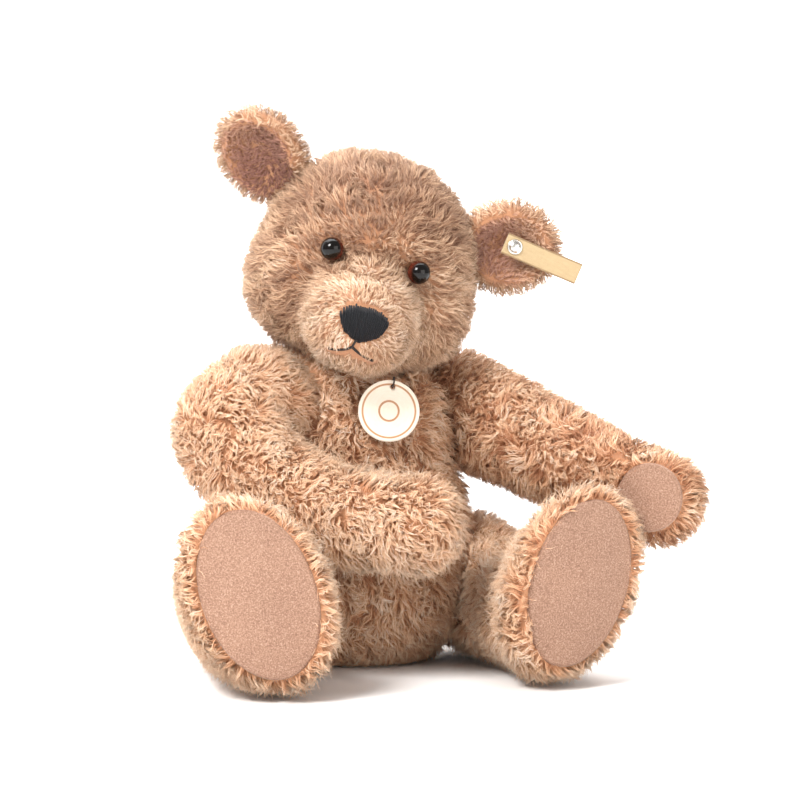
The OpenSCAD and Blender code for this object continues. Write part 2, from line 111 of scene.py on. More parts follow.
def hip_axis(h, d):
    h, d = math.radians(h), math.radians(d)
    return np.array([math.cos(d) * math.cos(h), math.cos(d) * math.sin(h), -math.sin(d)])


R_HIP = (np.array([-43.6, 3, 38.5]), hip_axis(175, 6))
L_HIP = (np.array([43.6, 2, 38.5]), hip_axis(-3, 6))
T_C = np.array([-3.0, -1, 72])
T_E = [((0, -2, 46), (57, 51, 54)), ((-3.5, -2, 107.5), (51, 43, 44)), ((-11.5, -4, 132), (33, 33, 28)), ((-3, 11, 92), (40, 37, 46)), ((-2, -2, 77), (51.5, 46, 46))]
H_C = np.array([2.0, -9, 48])
H_E = [((0, 1, 2), (49.5, 47, 47)), ((24, -2, -15), (28.5, 36, 30)), ((-24, -2, -15), (28.5, 36, 30)), ((1, -35, -28.5), (26, 32, 24)), ((0, -20, -22), (36, 33, 30)), ((-1, 8, -24), (36, 36, 36))]
H_R = NECK_R @ rot_z(4)
H_O = NECK_P + H_R @ H_C
EYE = [(27.5, 0.5), (-24, 1.5)]


def to_head(P):
    return P @ H_R.T + H_O


def ray(u, c, e, o):
    q = c - np.array(e[0], float)
    h = np.array(e[1], float)[None, :] - np.reshape(o, (-1, 1))
    A = ((u / h) ** 2).sum(1)
    B = (u * q / h / h).sum(1)
    C = ((q / h) ** 2).sum(1) - 1
    D = B * B - A * C
    return np.where(D > 0, np.maximum(0, (-B + np.sqrt(np.maximum(D, 0))) / A), 0)


def star_r(u, c, E, o, planes=(), p=18):
    v = np.stack([ray(u, c, e, o) for e in E], 1)
    m = v.max(1)
    r = m * ((v / m[:, None]) ** p).sum(1) ** (1 / p)
    for P, n, d in planes:
        k = u @ np.asarray(n, float)
        r = np.minimum(r, np.where(k > 1e-3, ((np.asarray(P, float) - c) @ n - d) / np.maximum(k, 1e-3), 1e3))
    return r


def ring_faces(nt, rings):
    F = [(0, 1 + i, 1 + (i + 1) % nt) for i in range(nt)]
    for j in range(rings - 1):
        for i in range(nt):
            a, b = 1 + j * nt + i, 1 + j * nt + (i + 1) % nt
            F.append((a, a + nt, b + nt, b))
    e = rings * nt + 1
    F += [(e, 1 + (rings - 1) * nt + (i + 1) % nt, 1 + (rings - 1) * nt + i) for i in range(nt)]
    return F


def star_mesh(c, E, o, planes, nt, nr):
    U = [[0, 0, -1.0]]
    for j in range(1, nr):
        f = math.radians(-90 + 180 * j / nr)
        for i in range(nt):
            a = 2 * math.pi * i / nt
            U.append([math.cos(f) * math.cos(a), math.cos(f) * math.sin(a), math.sin(f)])
    U.append([0, 0, 1.0])
    U = np.array(U)
    oo = o(U) if callable(o) else o
    P = c + U * star_r(U, c, E, oo, planes)[:, None]
    return P, ring_faces(nt, nr - 1)


def t_planes(k, floor):
    return [((0, 0, 0), np.array([0, 0, -1.0]), floor)] + [(j[0], j[1], G + k) for j in ((NECK_P, NECK_U), R_SH, L_SH, R_HIP, L_HIP)]


def head_at(l, u, o=0.0):
    l, u = math.radians(l), math.radians(u)
    d = np.array([math.cos(u) * math.sin(l), -math.cos(u) * math.cos(l), math.sin(u)])
    return d * (star_r(d[None], np.zeros(3), H_E, 0.0)[0] + o)


# ------------------------------------------------------------------ limbs
def cr(a, b, c, d, t):
    return 0.5 * (2 * b + (c - a) * t + (2 * a - 5 * b + 4 * c - d) * t * t + (3 * b - a - 3 * c + d) * t ** 3)


def at(R, s):
    i = min(int(s), len(R) - 2)
    row = lambda k: R[max(0, min(len(R) - 1, k))]
    return cr(row(i - 1), R[i], R[i + 1], row(i + 2), s - i)


def sect(R, T, n, s, o, shift, k):
    v = at(R, s)
    t = unit(at(T, s))
    e = unit(n - (n @ t) * t)
    h = np.cross(t, e)
    a = math.radians(v[5])
    return [v[:3] + t * shift, e * math.cos(a) + h * math.sin(a), h * math.cos(a) - e * math.sin(a), (v[3] - o) * k, (v[4] - o) * k]


def sections(R, T, n, o, c0, c1, per, caps=9):
    m = len(R) - 1
    N = round(m * per)
    S = [sect(R, T, n, 0, o, -(c0 - o) * math.cos(math.pi / 2 * k / (caps + 1)), math.sin(math.pi / 2 * k / (caps + 1))) for k in range(1, caps + 1)]
    S += [sect(R, T, n, m * k / N, o, 0, 1) for k in range(N + 1)]
    if c1 > 0:
        S += [sect(R, T, n, m, o, (c1 - o) * math.cos(math.pi / 2 * k / (caps + 1)), math.sin(math.pi / 2 * k / (caps + 1))) for k in range(caps, 0, -1)]
    return S


def push(P, planes, x):
    for q in planes:
        if len(q) == 5 and not q[3] <= x <= q[4]:
            continue
        d = (P - q[0]) @ q[1]
        P = P + np.maximum(0, q[2] - d)[:, None] * q[1]
    return P


def loft(S, planes, nt, p0, p1):
    a = 2 * np.pi * np.arange(nt) / nt
    out = [push(p0[None], planes, 0)]
    for m, s in enumerate(S):
        P = s[0] + s[3] * np.cos(a)[:, None] * s[1] + s[4] * np.sin(a)[:, None] * s[2]
        out.append(push(P, planes, m / (len(S) - 1)))
    out.append(push(p1[None], planes, 1))
    return np.concatenate(out), ring_faces(nt, len(S))


def rows(L):
    return [np.array(r, float) for r in L]


def tangents(R):
    g = lambda i: R[max(0, min(len(R) - 1, i))][:3]
    return [unit(g(i + 1) - g(i - 1)) for i in range(len(R))]


ARM_R = 26
ra0 = R_SH[0] + 14.5 * R_SH[1] + [0, 0, 1]
la0 = L_SH[0] + 14 * L_SH[1]
RA_R = rows([[*ra0, ARM_R, ARM_R, 0], [-73, -39, 110, 24.5, 24.5, 0], [-59, -59, 87.5, 22, 22, 0], [-34, -80, 75, 20.5, 20.5, 0], [-4, -95, 72, 19.5, 20, 0]])
LA_R = rows([[*la0, ARM_R - 2, ARM_R, 0], [66, -40, 106, 23, 23, 0], [80, -69, 95.5, 21, 21, 0], [94, -89, 87, 19.5, 20, 0], [108, -105, 81, 19, 20, 0]])
RA_T, LA_T = tangents(RA_R), tangents(LA_R)
n_ = unit(np.cross(RA_T[4], [0, 0, 1]))
RA_PALM = (np.array([-5.0, -95, 72]) - n_ * 10.5, n_)
q_ = unit([-0.42, -0.90, -0.02])
n_ = -unit(q_ - (q_ @ LA_T[4]) * LA_T[4] * 0.8)
LA_PALM = (np.array([107.0, -104, 81.5]) - n_ * 10.5, n_)


def arm_mesh(R, T, j, palm, o, k, pk, nt=72, per=14):
    n = j[1]
    S = sections(R, T, n, o, ARM_R - 1, 19, per)
    p0 = sect(R, T, n, 0, o, -(ARM_R - 1 - o), 0)[0]
    p1 = sect(R, T, n, len(R) - 1, o, 19 - o, 0)[0]
    return loft(S, [(j[0], n, G + k, 0, 0.5), (palm[0], palm[1], pk, 0.6, 1)], nt, p0, p1)


FOOT_H, FOOT_W, LEG = 88, 62, 127


def leg_rows(hip, sole, d):
    n, f, h = hip[1], FOOT_H / 2, FOOT_W / 2
    a = hip[0] + n * 14
    R = [np.array([*(a + [0, 0, -2]), 26, 31, 0])]
    for r in [[0.26, 20, 31.5, 25.5, 27.5, 0], [0.5, 25, 30.5, 25, 26, 4], [0.70, 28, 32, 25.5, 27.5, 10], [0.84, 0, 40, 28.5, f - 7, 16], [0.93, 0, 45.5, h - 0.5, f - 1, 20], [1, 0, 47, h - 1.5, f - 1.5, 20]]:
        c = a + (sole - a) * r[0]
        R.append(np.array([c[0], c[1], r[2], r[3], r[4], d * r[5]]))
    return R


R_SOLE = R_HIP[0] + LEG * unit([-40.5, -119, 0]) + [0, 0, 8]
L_SOLE = L_HIP[0] + LEG * unit([16, -127, 0]) + [0, 0, 8]
RL_R, LL_R = leg_rows(R_HIP, R_SOLE, 1), leg_rows(L_HIP, L_SOLE, -1)
hv = lambda a: np.array([math.sin(math.radians(a)), -math.cos(math.radians(a)), 0])
RL_T = [hv(a) for a in (-10, -14, -17, -19, -20, -20, -20)]
LL_T = [hv(a) for a in (4, 5, 6, 7, 8, 8, 8)]


def leg_mesh(R, T, j, o, k, end, nt=80, per=9):
    n, m = j[1], len(R) - 1
    S = sections(R, T, n, o, 28, 0, per)
    for f in (15, 30, 45, 60, 75, 90):
        f = math.radians(f)
        S.append(sect(R, T, n, m, o, end * math.sin(f), 1 - 0.09 * (1 - math.cos(f))))
    for s in (0.7, 0.45, 0.2):
        S.append(sect(R, T, n, m, o, end, s))
    return loft(S, [(j[0], n, G + k, 0, 0.5), (np.zeros(3), np.array([0, 0, 1.0]), o)], nt, sect(R, T, n, 0, o, -(28 - o), 0)[0], sect(R, T, n, m, o, end, 0)[0])


def sole_frame(R, T, s):
    v, t = R[-1][:3], T[-1]
    M = rot_z(math.degrees(math.atan2(t[0], -t[1]))) @ rot_x(90) @ rot_z(s * 20)
    return v, M, t


# ------------------------------------------------------------------ materials
def lin(h):
    c = [int(h[i:i + 2], 16) / 255 for i in (1, 3, 5)]
    return tuple(x / 12.92 if x <= 0.04045 else ((x + 0.055) / 1.055) ** 2.4 for x in c) + (1.0,)


class Mat:
    """A small helper round one principled node tree."""

    def __init__(self, name, rough=0.6, metal=0.0, **kw):
        self.m = bpy.data.materials.new(name)
        self.m.use_nodes = True
        self.t = self.m.node_tree
        self.b = self.t.nodes["Principled BSDF"]
        self.b.inputs["Roughness"].default_value = rough
        self.b.inputs["Metallic"].default_value = metal
        for k, v in kw.items():
            self.b.inputs[k.replace("_", " ")].default_value = v

    def n(self, kind, **kw):
        x = self.t.nodes.new(kind)
        for k, v in kw.items():
            if k in x.inputs.keys():
                x.inputs[k].default_value = v
            else:
                setattr(x, k, v)
        return x

    def l(self, a, b):
        self.t.links.new(a, b)

    def ramp(self, fac, stops, interp="LINEAR"):
        x = self.n("ShaderNodeValToRGB")
        x.color_ramp.interpolation = interp
        e = x.color_ramp.elements
        while len(e) < len(stops):
            e.new(0.5)
        for el, (p, c) in zip(e, stops):
            el.position = p
        for i, (p, c) in enumerate(stops):
            e[i].color = lin(c) if isinstance(c, str) else c
        if fac is not None:
            self.l(fac, x.inputs["Fac"])
        return x.outputs["Color"]

    def mix(self, fac, a, b, mode="MIX"):
        x = self.n("ShaderNodeMix", data_type="RGBA", blend_type=mode)
        for sock, v in ((x.inputs["Factor"], fac), (x.inputs[6], a), (x.inputs[7], b)):
            if isinstance(v, (int, float)):
                sock.default_value = v
            elif isinstance(v, tuple):
                sock.default_value = v
            else:
                self.l(v, sock)
        return x.outputs[2]

    def coord(self, scale=1.0, kind="Object", uv=None):
        if uv:
            c = self.n("ShaderNodeUVMap", uv_map=uv).outputs[0]
        else:
            c = self.n("ShaderNodeTexCoord").outputs[kind]
        mp = self.n("ShaderNodeMapping")
        mp.inputs["Scale"].default_value = (scale,) * 3 if isinstance(scale, (int, float)) else scale
        self.l(c, mp.inputs["Vector"])
        return mp.outputs["Vector"]

    def noise(self, scale, detail=4, rough=0.6, vec=None, dim=None):
        x = self.n("ShaderNodeTexNoise", Scale=scale, Detail=detail, Roughness=rough)
        self.l(vec if vec is not None else self.coord(), x.inputs["Vector"])
        return x.outputs["Fac"]

    def wave(self, scale, vec, dist=0.0, detail=2, direction="X"):
        x = self.n("ShaderNodeTexWave", Scale=scale, Distortion=dist, Detail=detail, bands_direction=direction)
        self.l(vec, x.inputs["Vector"])
        return x.outputs["Fac"]

    def math(self, op, a, b=0.0):
        x = self.n("ShaderNodeMath", operation=op)
        for i, v in enumerate((a, b)):
            if isinstance(v, (int, float)):
                x.inputs[i].default_value = v
            else:
                self.l(v, x.inputs[i])
        return x.outputs[0]

    def color(self, c):
        self.l(c, self.b.inputs["Base Color"])

    def bump(self, h, dist, strength=1.0):
        x = self.n("ShaderNodeBump", Strength=strength, Distance=dist)
        self.l(h, x.inputs["Height"])
        self.l(x.outputs[0], self.b.inputs["Normal"])


def pile_material(name, stops, root, rough=0.62):
    """Pile: u of the strand's map picks its tone, v runs from the root to the tip; the darker root colour is partly the
    mohair's own tone and partly painted shade between the strands.
    """
    m = Mat(name, rough=rough)
    m.b.inputs["Sheen Weight"].default_value = 0.25
    m.b.inputs["Sheen Roughness"].default_value = 0.45
    m.b.inputs["Sheen Tint"].default_value = lin("#ffe6cc")
    m.b.inputs["Specular IOR Level"].default_value = 0.35
    uv = m.n("ShaderNodeUVMap", uv_map="OFBake")
    sep = m.n("ShaderNodeSeparateXYZ")
    m.l(uv.outputs[0], sep.inputs[0])
    shade = m.ramp(sep.outputs[0], stops)
    streak = m.noise(60, 3, 0.6, uv.outputs[0])
    shade = m.mix(0.25, shade, m.ramp(streak, [(0.3, "#8a6a50"), (0.7, "#ffffff")]), "MULTIPLY")
    # the strand darkens towards its root: partly the mohair's own tone, partly painted shade down between the strands
    root_tone_and_painted_shade = m.ramp(sep.outputs[0], root)
    k = m.ramp(sep.outputs[1], [(0.0, (1, 1, 1, 1)), (0.38, (0.55, 0.55, 0.55, 1)), (0.75, (0, 0, 0, 1))])
    bw = m.n("ShaderNodeRGBToBW")
    m.l(k, bw.inputs[0])
    m.color(m.mix(bw.outputs[0], shade, root_tone_and_painted_shade))
    return m.m


STOPS = [(0.0, "#aa7152"), (0.25, "#d8a37d"), (0.5, "#f3caa5"), (0.75, "#fde0c4"), (1.0, "#fff5e7")]
# root colours, darker than the tips, as are the root stops of the head and ear piles: partly the mohair's own tone,
# partly painted shade between the strands
ROOT_TONE_AND_PAINTED_SHADE = [(0.0, "#8a4c2c"), (0.5, "#bf7a4c"), (1.0, "#dfa273")]
M_PILE = pile_material("mohair_pile", STOPS, ROOT_TONE_AND_PAINTED_SHADE)
M_PILE_HEAD = pile_material("mohair_pile_head", [(0.0, "#8d6c57"), (0.25, "#c0987a"), (0.5, "#e8c3a0"), (0.75, "#f9dcc0"), (1.0, "#fff2e2")], [(0.0, "#744a36"), (0.5, "#a97a5a"), (1.0, "#d3a380")])
# a darker copy of the pile for inside the ear cups: painted shade in the hollow of the cup
M_PILE_EAR_SHADE = pile_material("mohair_pile_inside_the_ear_painted_shade", [(0.0, "#7d5145"), (0.5, "#b58572"), (1.0, "#efc7a6")], [(0.0, "#5e3a30"), (1.0, "#a8745c")])


def cloth_material(name, a, b, scale=900.0, bump=0.0003, rough=0.85):
    m = Mat(name, rough=rough)
    m.b.inputs["Sheen Weight"].default_value = 0.3
    v = m.coord(1.0)
    w1 = m.wave(scale, v, 0.6, 2, "X")
    w2 = m.wave(scale, v, 0.6, 2, "Z")
    weave = m.math("MULTIPLY", w1, w2)
    n = m.noise(60, 5, 0.6, v)
    c = m.mix(n, lin(a), lin(b))
    m.color(m.mix(0.5, c, m.ramp(weave, [(0.0, "#7a6a5c"), (1.0, "#ffffff")]), "MULTIPLY"))
    m.bump(weave, bump, 0.6)
    return m.m


M_BACK = cloth_material("mohair_backing_cloth", "#cf9268", "#e0a67c")


def velour(name):
    m = Mat(name, rough=0.82)
    m.b.inputs["Sheen Weight"].default_value = 0.5
    m.b.inputs["Sheen Roughness"].default_value = 0.4
    m.b.inputs["Sheen Tint"].default_value = lin("#f3dcc8")
    v = m.coord(1.0)
    soft = m.noise(38, 5, 0.6, v)
    fine = m.noise(1500, 4, 0.75, v)
    base = m.mix(m.ramp(soft, [(0.32, (0, 0, 0, 1)), (0.7, (1, 1, 1, 1))]), lin("#896551"), lin("#9b7660"))
    speck = m.ramp(fine, [(0.34, "#5c3d2f"), (0.5, "#93705c"), (0.68, "#c6a792")])
    m.color(m.mix(0.6, base, speck))
    m.bump(m.math("ADD", m.math("MULTIPLY", fine, 1.0), m.noise(2600, 3, 0.7, v)), 0.0004, 0.55)
    return m.m


M_PAD = velour("pad_velour")


def thread_material(name, a, b, rough=0.5, tw=900):
    m = Mat(name, rough=rough)
    m.b.inputs["Sheen Weight"].default_value = 0.06
    m.b.inputs["Sheen Tint"].default_value = lin("#aeb6cc")
    uv = m.coord((1, 1, 1), uv="OFBake")
    tw_ = m.wave(14, uv, 1.5, 2, "DIAGONAL")
    n = m.noise(700, 3, 0.6)
    m.color(m.mix(m.math("MULTIPLY", tw_, n), lin(a), lin(b)))
    m.bump(tw_, 0.00015, 0.5)
    return m.m


M_NOSE = thread_material("black_satin_thread", "#050608", "#11141b", 0.5)
M_NOSE.node_tree.nodes["Principled BSDF"].inputs["Specular IOR Level"].default_value = 0.25
M_MOUTH = thread_material("black_mouth_thread", "#1a1614", "#3f342e", 0.6)


def plain_thread(name, a, b):
    m = Mat(name, rough=0.7)
    v = m.coord(1.0)
    w = m.wave(1400, v, 2.0, 2, "DIAGONAL")
    m.color(m.mix(w, lin(a), lin(b)))
    m.bump(w, 0.0002, 0.6)
    return m.m


M_SEAM = plain_thread("tan_twisted_thread", "#7a5238", "#a9805e")
M_TAGTHREAD = plain_thread("dark_tag_thread", "#2a2422", "#57493f")


def eye_material():
    m = Mat("eye_glass", rough=0.12)
    m.b.inputs["Specular IOR Level"].default_value = 0.22
    m.b.inputs["Coat Weight"].default_value = 0.12
    m.b.inputs["Coat Roughness"].default_value = 0.04
    uv = m.n("ShaderNodeUVMap", uv_map="OFBake")
    sep = m.n("ShaderNodeSeparateXYZ")
    m.l(uv.outputs[0], sep.inputs[0])
    mp = m.n("ShaderNodeMapping")
    mp.inputs["Scale"].default_value = (70, 3, 1)
    m.l(uv.outputs[0], mp.inputs["Vector"])
    fibres = m.noise(1.0, 3, 0.7, mp.outputs[0])
    iris = m.mix(fibres, lin("#30120c"), lin("#6a2c1c"))
    c = m.ramp(sep.outputs[1], [(0.0, (0, 0, 0, 1)), (0.34, (0, 0, 0, 1)), (0.44, (0.8, 0.8, 0.8, 1)), (0.55, (1, 1, 1, 1)), (0.66, (0.0, 0.0, 0.0, 1))])
    bw = m.n("ShaderNodeRGBToBW")
    m.l(c, bw.inputs[0])
    m.color(m.mix(bw.outputs[0], lin("#0b0706"), iris))
    return m.m


M_EYE = eye_material()


def metal_material(name, a, b, rough, scratch=180):
    m = Mat(name, rough=rough, metal=1.0)
    v = m.coord((1, 1, 6))
    n = m.noise(scratch, 5, 0.7, v)
    m.color(m.mix(n, lin(a), lin(b)))
    r = m.math("ADD", m.math("MULTIPLY", n, 0.25), rough - 0.1)
    m.l(r, m.b.inputs["Roughness"])
    m.bump(n, 0.00008, 0.4)
    return m.m


M_ZINC = metal_material("zinc_steel", "#9a9fa6", "#d3d6da", 0.36, 400)
M_BUTTON = metal_material("nickel_button", "#b9b4aa", "#eceae4", 0.24, 900)


def ribbon_material():
    m = Mat("woven_ribbon", rough=0.55)
    m.b.inputs["Sheen Weight"].default_value = 0.4
    uv = m.coord((1, 1, 1), uv="OFBake")
    wa = m.wave(26, uv, 0.3, 1, "X")
    wb = m.wave(10, uv, 0.3, 1, "Y")
    n = m.noise(9, 4, 0.6, uv)
    c = m.mix(n, lin("#c4aa82"), lin("#dcc69c"))
    c = m.mix(0.5, c, m.ramp(m.math("MULTIPLY", wa, wb), [(0.0, "#a5906c"), (1.0, "#ffffff")]), "MULTIPLY")
    sep = m.n("ShaderNodeSeparateXYZ")
    m.l(uv, sep.inputs[0])
    edge = m.ramp(sep.outputs[1], [(0.0, "#a98e6c"), (0.07, "#a98e6c"), (0.1, "#ffffff"), (0.9, "#ffffff"), (0.93, "#a98e6c")])
    m.color(m.mix(0.7, c, edge, "MULTIPLY"))
    m.bump(m.math("MULTIPLY", wa, wb), 0.0002, 0.7)
    return m.m


M_RIBBON = ribbon_material()


def card_material():
    m = Mat("printed_card", rough=0.5)
    uv = m.n("ShaderNodeUVMap", uv_map="OFBake")
    sep = m.n("ShaderNodeSeparateXYZ")
    m.l(uv.outputs[0], sep.inputs[0])
    n = m.noise(14, 6, 0.7, uv.outputs[0])
    base = m.mix(n, lin("#eddcc6"), lin("#fbf2e4"))
    ring = m.ramp(sep.outputs[1], [(0.0, "#ffffff"), (0.27, "#ffffff"), (0.285, "#b9824f"), (0.335, "#b9824f"), (0.35, "#ffffff"), (0.80, "#ffffff"), (0.815, "#c08c58"), (0.86, "#c08c58"), (0.875, "#ffffff")])
    m.color(m.mix(0.9, base, ring, "MULTIPLY"))
    m.bump(m.noise(60, 4, 0.7, uv.outputs[0]), 0.0001, 0.3)
    return m.m


M_CARD = card_material()


def board_material():
    m = Mat("fibreboard", rough=0.9)
    v = m.coord(1.0)
    n = m.noise(420, 6, 0.75, v)
    f = m.noise(2200, 3, 0.7, v)
    m.color(m.mix(n, lin("#7a5f3c"), m.ramp(f, [(0.3, "#94774d"), (0.7, "#b9a077")])))
    m.bump(f, 0.0002, 0.6)
    return m.m


M_BOARD = board_material()


def fill_material():
    m = Mat("carded_stuffing_fibre", rough=0.95)
    m.b.inputs["Sheen Weight"].default_value = 0.6
    v = m.coord(1.0)
    n = m.noise(90, 8, 0.8, v)
    w = m.wave(160, v, 14, 4, "DIAGONAL")
    m.color(m.mix(m.math("MULTIPLY", n, w), lin("#d9d0c0"), lin("#f7f3ea")))
    m.bump(m.math("ADD", n, w), 0.002, 0.8)
    return m.m


M_FILL = fill_material()


# ------------------------------------------------------------------ meshes
def new_object(name, P, F, mat, body, smooth_=True, mm=True):
    me = bpy.data.meshes.new(name)
    me.from_pydata((np.asarray(P) * (0.001 if mm else 1)).tolist(), [], [tuple(int(i) for i in f) for f in F])
    me.validate()
    me.polygons.foreach_set("use_smooth", [smooth_] * len(me.polygons))
    me.materials.append(mat)
    ob = bpy.data.objects.new(name, me)
    scene.collection.objects.link(ob)
    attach(ob, body)
    return ob


def fix_normals(ob):
    bm = bmesh.new()
    bm.from_mesh(ob.data)
    bmesh.ops.recalc_face_normals(bm, faces=bm.faces)
    bm.to_mesh(ob.data)
    bm.free()


def vertex_normals(P, F):
    n = np.zeros_like(P)
    tri = []
    for f in F:
        tri.append((f[0], f[1], f[2]))
        if len(f) == 4:
            tri.append((f[0], f[2], f[3]))
    tri = np.array(tri)
    a, b, c = P[tri[:, 0]], P[tri[:, 1]], P[tri[:, 2]]
    fn = np.cross(b - a, c - a)
    for k in range(3):
        np.add.at(n, tri[:, k], fn)
    return norm_rows(n), tri, 0.5 * np.linalg.norm(fn, axis=1)


def outward(P, F, centre=None):
    """Faces turned so that the normals point out of the closed surface."""
    vn, tri, area = vertex_normals(P, F)
    a, b, c = P[tri[:, 0]], P[tri[:, 1]], P[tri[:, 2]]
    vol = np.einsum("ij,ij->i", a, np.cross(b, c)).sum()
    return F if vol > 0 else [tuple(reversed(f)) for f in F]


def scatter(P, F, density, keep):
    """Roots on a surface: density strands for each square mm, where keep(points, normals) allows."""
    vn, tri, area = vertex_normals(P, F)
    cdf = np.cumsum(area)
    N = int(cdf[-1] * density)
    t = np.searchsorted(cdf, rng.uniform(0, cdf[-1], N))
    r1, r2 = np.sqrt(rng.uniform(size=N)), rng.uniform(size=N)
    w = np.stack([1 - r1, r1 * (1 - r2), r1 * r2], 1)
    Q = np.einsum("nk,nkd->nd", w, P[tri[t]])
    Nn = norm_rows(np.einsum("nk,nkd->nd", w, vn[tri[t]]))
    ok = keep(Q, Nn)
    return Q[ok], Nn[ok]


SEG = 3
MAXSTRANDS = 12000  # the pieces stay below 200,000 faces


def build_pile(name, Q, N, lay, length, width, shade, body, mat, lean=(22, 70), clump=9, tight=0.7, curl=1.25, waves=1.35, seed=1, jumble=0.75, SEG=3, flat=None):
    """Real pile: each strand is a closed three-sided tapering thread, gathered into wavy locks. Everything in mm."""
    r = np.random.default_rng(seed)
    n = len(Q)
    if not n:
        return []
    length = np.broadcast_to(length, (n,)).astype(float) * r.uniform(0.75, 1.15, n)
    width = np.broadcast_to(width, (n,)).astype(float) * r.uniform(0.8, 1.15, n)
    m = max(1, n // clump)
    
    ci = r.choice(n, m, replace=False)
    kd = KDTree(m)
    for i, k in enumerate(ci):
        kd.insert(Q[k], i)
    kd.balance()
    near = np.array([kd.find(q)[1] for q in Q])
    # one wavy curve for each lock
    lay = lay - (np.einsum("ij,ij->i", lay, N)[:, None]) * N
    lay = norm_rows(lay) + jumble * norm_rows(r.normal(size=lay.shape))
    lay = lay - (np.einsum("ij,ij->i", lay, N)[:, None]) * N
    lay = norm_rows(lay)
    side = np.cross(N, lay)

    def curve(q, nn, ly, sd, L, amp, fr, ph, a0, a1):
        pts = [q]
        p = q.copy()
        K = SEG
        for k in range(K):
            t = (k + 0.5) / K
            th = np.radians(a0 + (a1 - a0) * t)
            d = nn * np.cos(th)[:, None] + ly * np.sin(th)[:, None]
            p = p + d * (L / K)[:, None]
            tt = (k + 1) / K
            s = amp * tt * np.sin(6.283 * fr * tt + ph)
            c = 0.6 * amp * tt * np.cos(6.283 * fr * tt * 0.8 + ph * 1.7)
            pts.append(p + sd * s[:, None] + ly * c[:, None])
        return np.stack(pts, 1)

    lk_a0 = r.uniform(lean[0] - 15, lean[0] + 15, m)
    lk_a1 = r.uniform(lean[1] - 12, lean[1] + 18, m)
    flat = np.zeros(n, bool) if flat is None else flat
    lk_a0 = np.where(flat[ci], 74, lk_a0)
    lk_a1 = np.where(flat[ci], 88, lk_a1)
    lock = curve(Q[ci], N[ci], lay[ci], side[ci], length[ci], r.uniform(0.5, 1.5, m) * curl, r.uniform(0.6, 1.2, m) * waves, r.uniform(0, 6.28, m), lk_a0, lk_a1)
    off = (Q - Q[ci][near])
    s = np.linspace(0, 1, SEG + 1)
    hold = 1 - tight * np.sqrt(s)
    own = r.normal(size=(n, SEG + 1, 3)) * 0.26 * s[None, :, None]
    scale = (length / length[ci][near])[:, None, None]
    C = Q[ci][near][:, None, :] + (lock[near] - Q[ci][near][:, None, :]) * scale + off[:, None, :] * hold[None, :, None] + own
    # stray hairs that stand out of the locks
    stray = (r.uniform(size=n) < 0.16) & ~flat
    k = stray.sum()
    if k:
        ly = norm_rows(lay[stray] + 0.9 * r.normal(size=(k, 3)))
        ly = norm_rows(ly - np.einsum("ij,ij->i", ly, N[stray])[:, None] * N[stray])
        C[stray] = curve(Q[stray], N[stray], ly, np.cross(N[stray], ly), length[stray] * 1.08, r.uniform(0.4, 1.3, k) * curl, r.uniform(0.6, 1.4, k) * waves, r.uniform(0, 6.28, k), r.uniform(5, 35, k), r.uniform(20, 70, k))
        width = np.where(stray, width * 0.75, width)
    C[:, 0] -= N * 0.6
    C[:, :, 2] = np.maximum(C[:, :, 2], 0.75)
    if body == "head":
        pass
    lo, hi = np.array(cad_lo) * 1000 - 7.5, np.array(cad_hi) * 1000 + 7.5
    C = np.clip(C, lo, hi)
    # three-sided section along each curve
    tan = np.empty_like(C)
    tan[:, 1:-1] = C[:, 2:] - C[:, :-2]
    tan[:, 0] = C[:, 1] - C[:, 0]
    tan[:, -1] = C[:, -1] - C[:, -2]
    tan /= np.maximum(np.linalg.norm(tan, axis=2, keepdims=True), 1e-6)
    ref = norm_rows(N + 0.6 * r.normal(size=(n, 3)))[:, None, :]
    s1 = np.cross(tan, np.broadcast_to(ref, tan.shape))
    s1 /= np.maximum(np.linalg.norm(s1, axis=2, keepdims=True), 1e-6)
    s2 = np.cross(tan, s1)
    taper = np.array([0.8, 1.0, 0.8] if SEG == 3 else [0.85, 0.95])
    V = np.empty((n, SEG * 3 + 1, 3))
    U = np.empty((n, SEG * 3 + 1, 2))
    NV = np.empty((n, SEG * 3 + 1, 3))
    for k in range(SEG):
        for j in range(3):
            a = 2 * math.pi * j / 3
            o = s1[:, k] * math.cos(a) + s2[:, k] * math.sin(a)
            V[:, 3 * k + j] = C[:, k] + o * (width * taper[k])[:, None]
            NV[:, 3 * k + j] = o
            U[:, 3 * k + j, 0] = shade + (j - 1) * 0.004
            U[:, 3 * k + j, 1] = 0.02 + 0.96 * k / SEG
    V[:, -1] = C[:, -1]
    NV[:, -1] = tan[:, -1]
    U[:, -1, 0] = shade
    U[:, -1, 1] = 0.98
    U[..., 0] = np.clip(U[..., 0], 0.01, 0.99)
    NV = NV * 0.7 + N[:, None, :] * 1.0
    V[:, :, 2] = np.maximum(V[:, :, 2], 0.3)
    T = [(0, 2, 1)]
    for k in range(SEG - 1):
        for j in range(3):
            a, b = 3 * k + j, 3 * k + (j + 1) % 3
            T += [(a, b, b + 3), (a, b + 3, a + 3)]
    e = 3 * (SEG - 1)
    T += [(e + j, e + (j + 1) % 3, 3 * SEG) for j in range(3)]
    T = np.array(T)
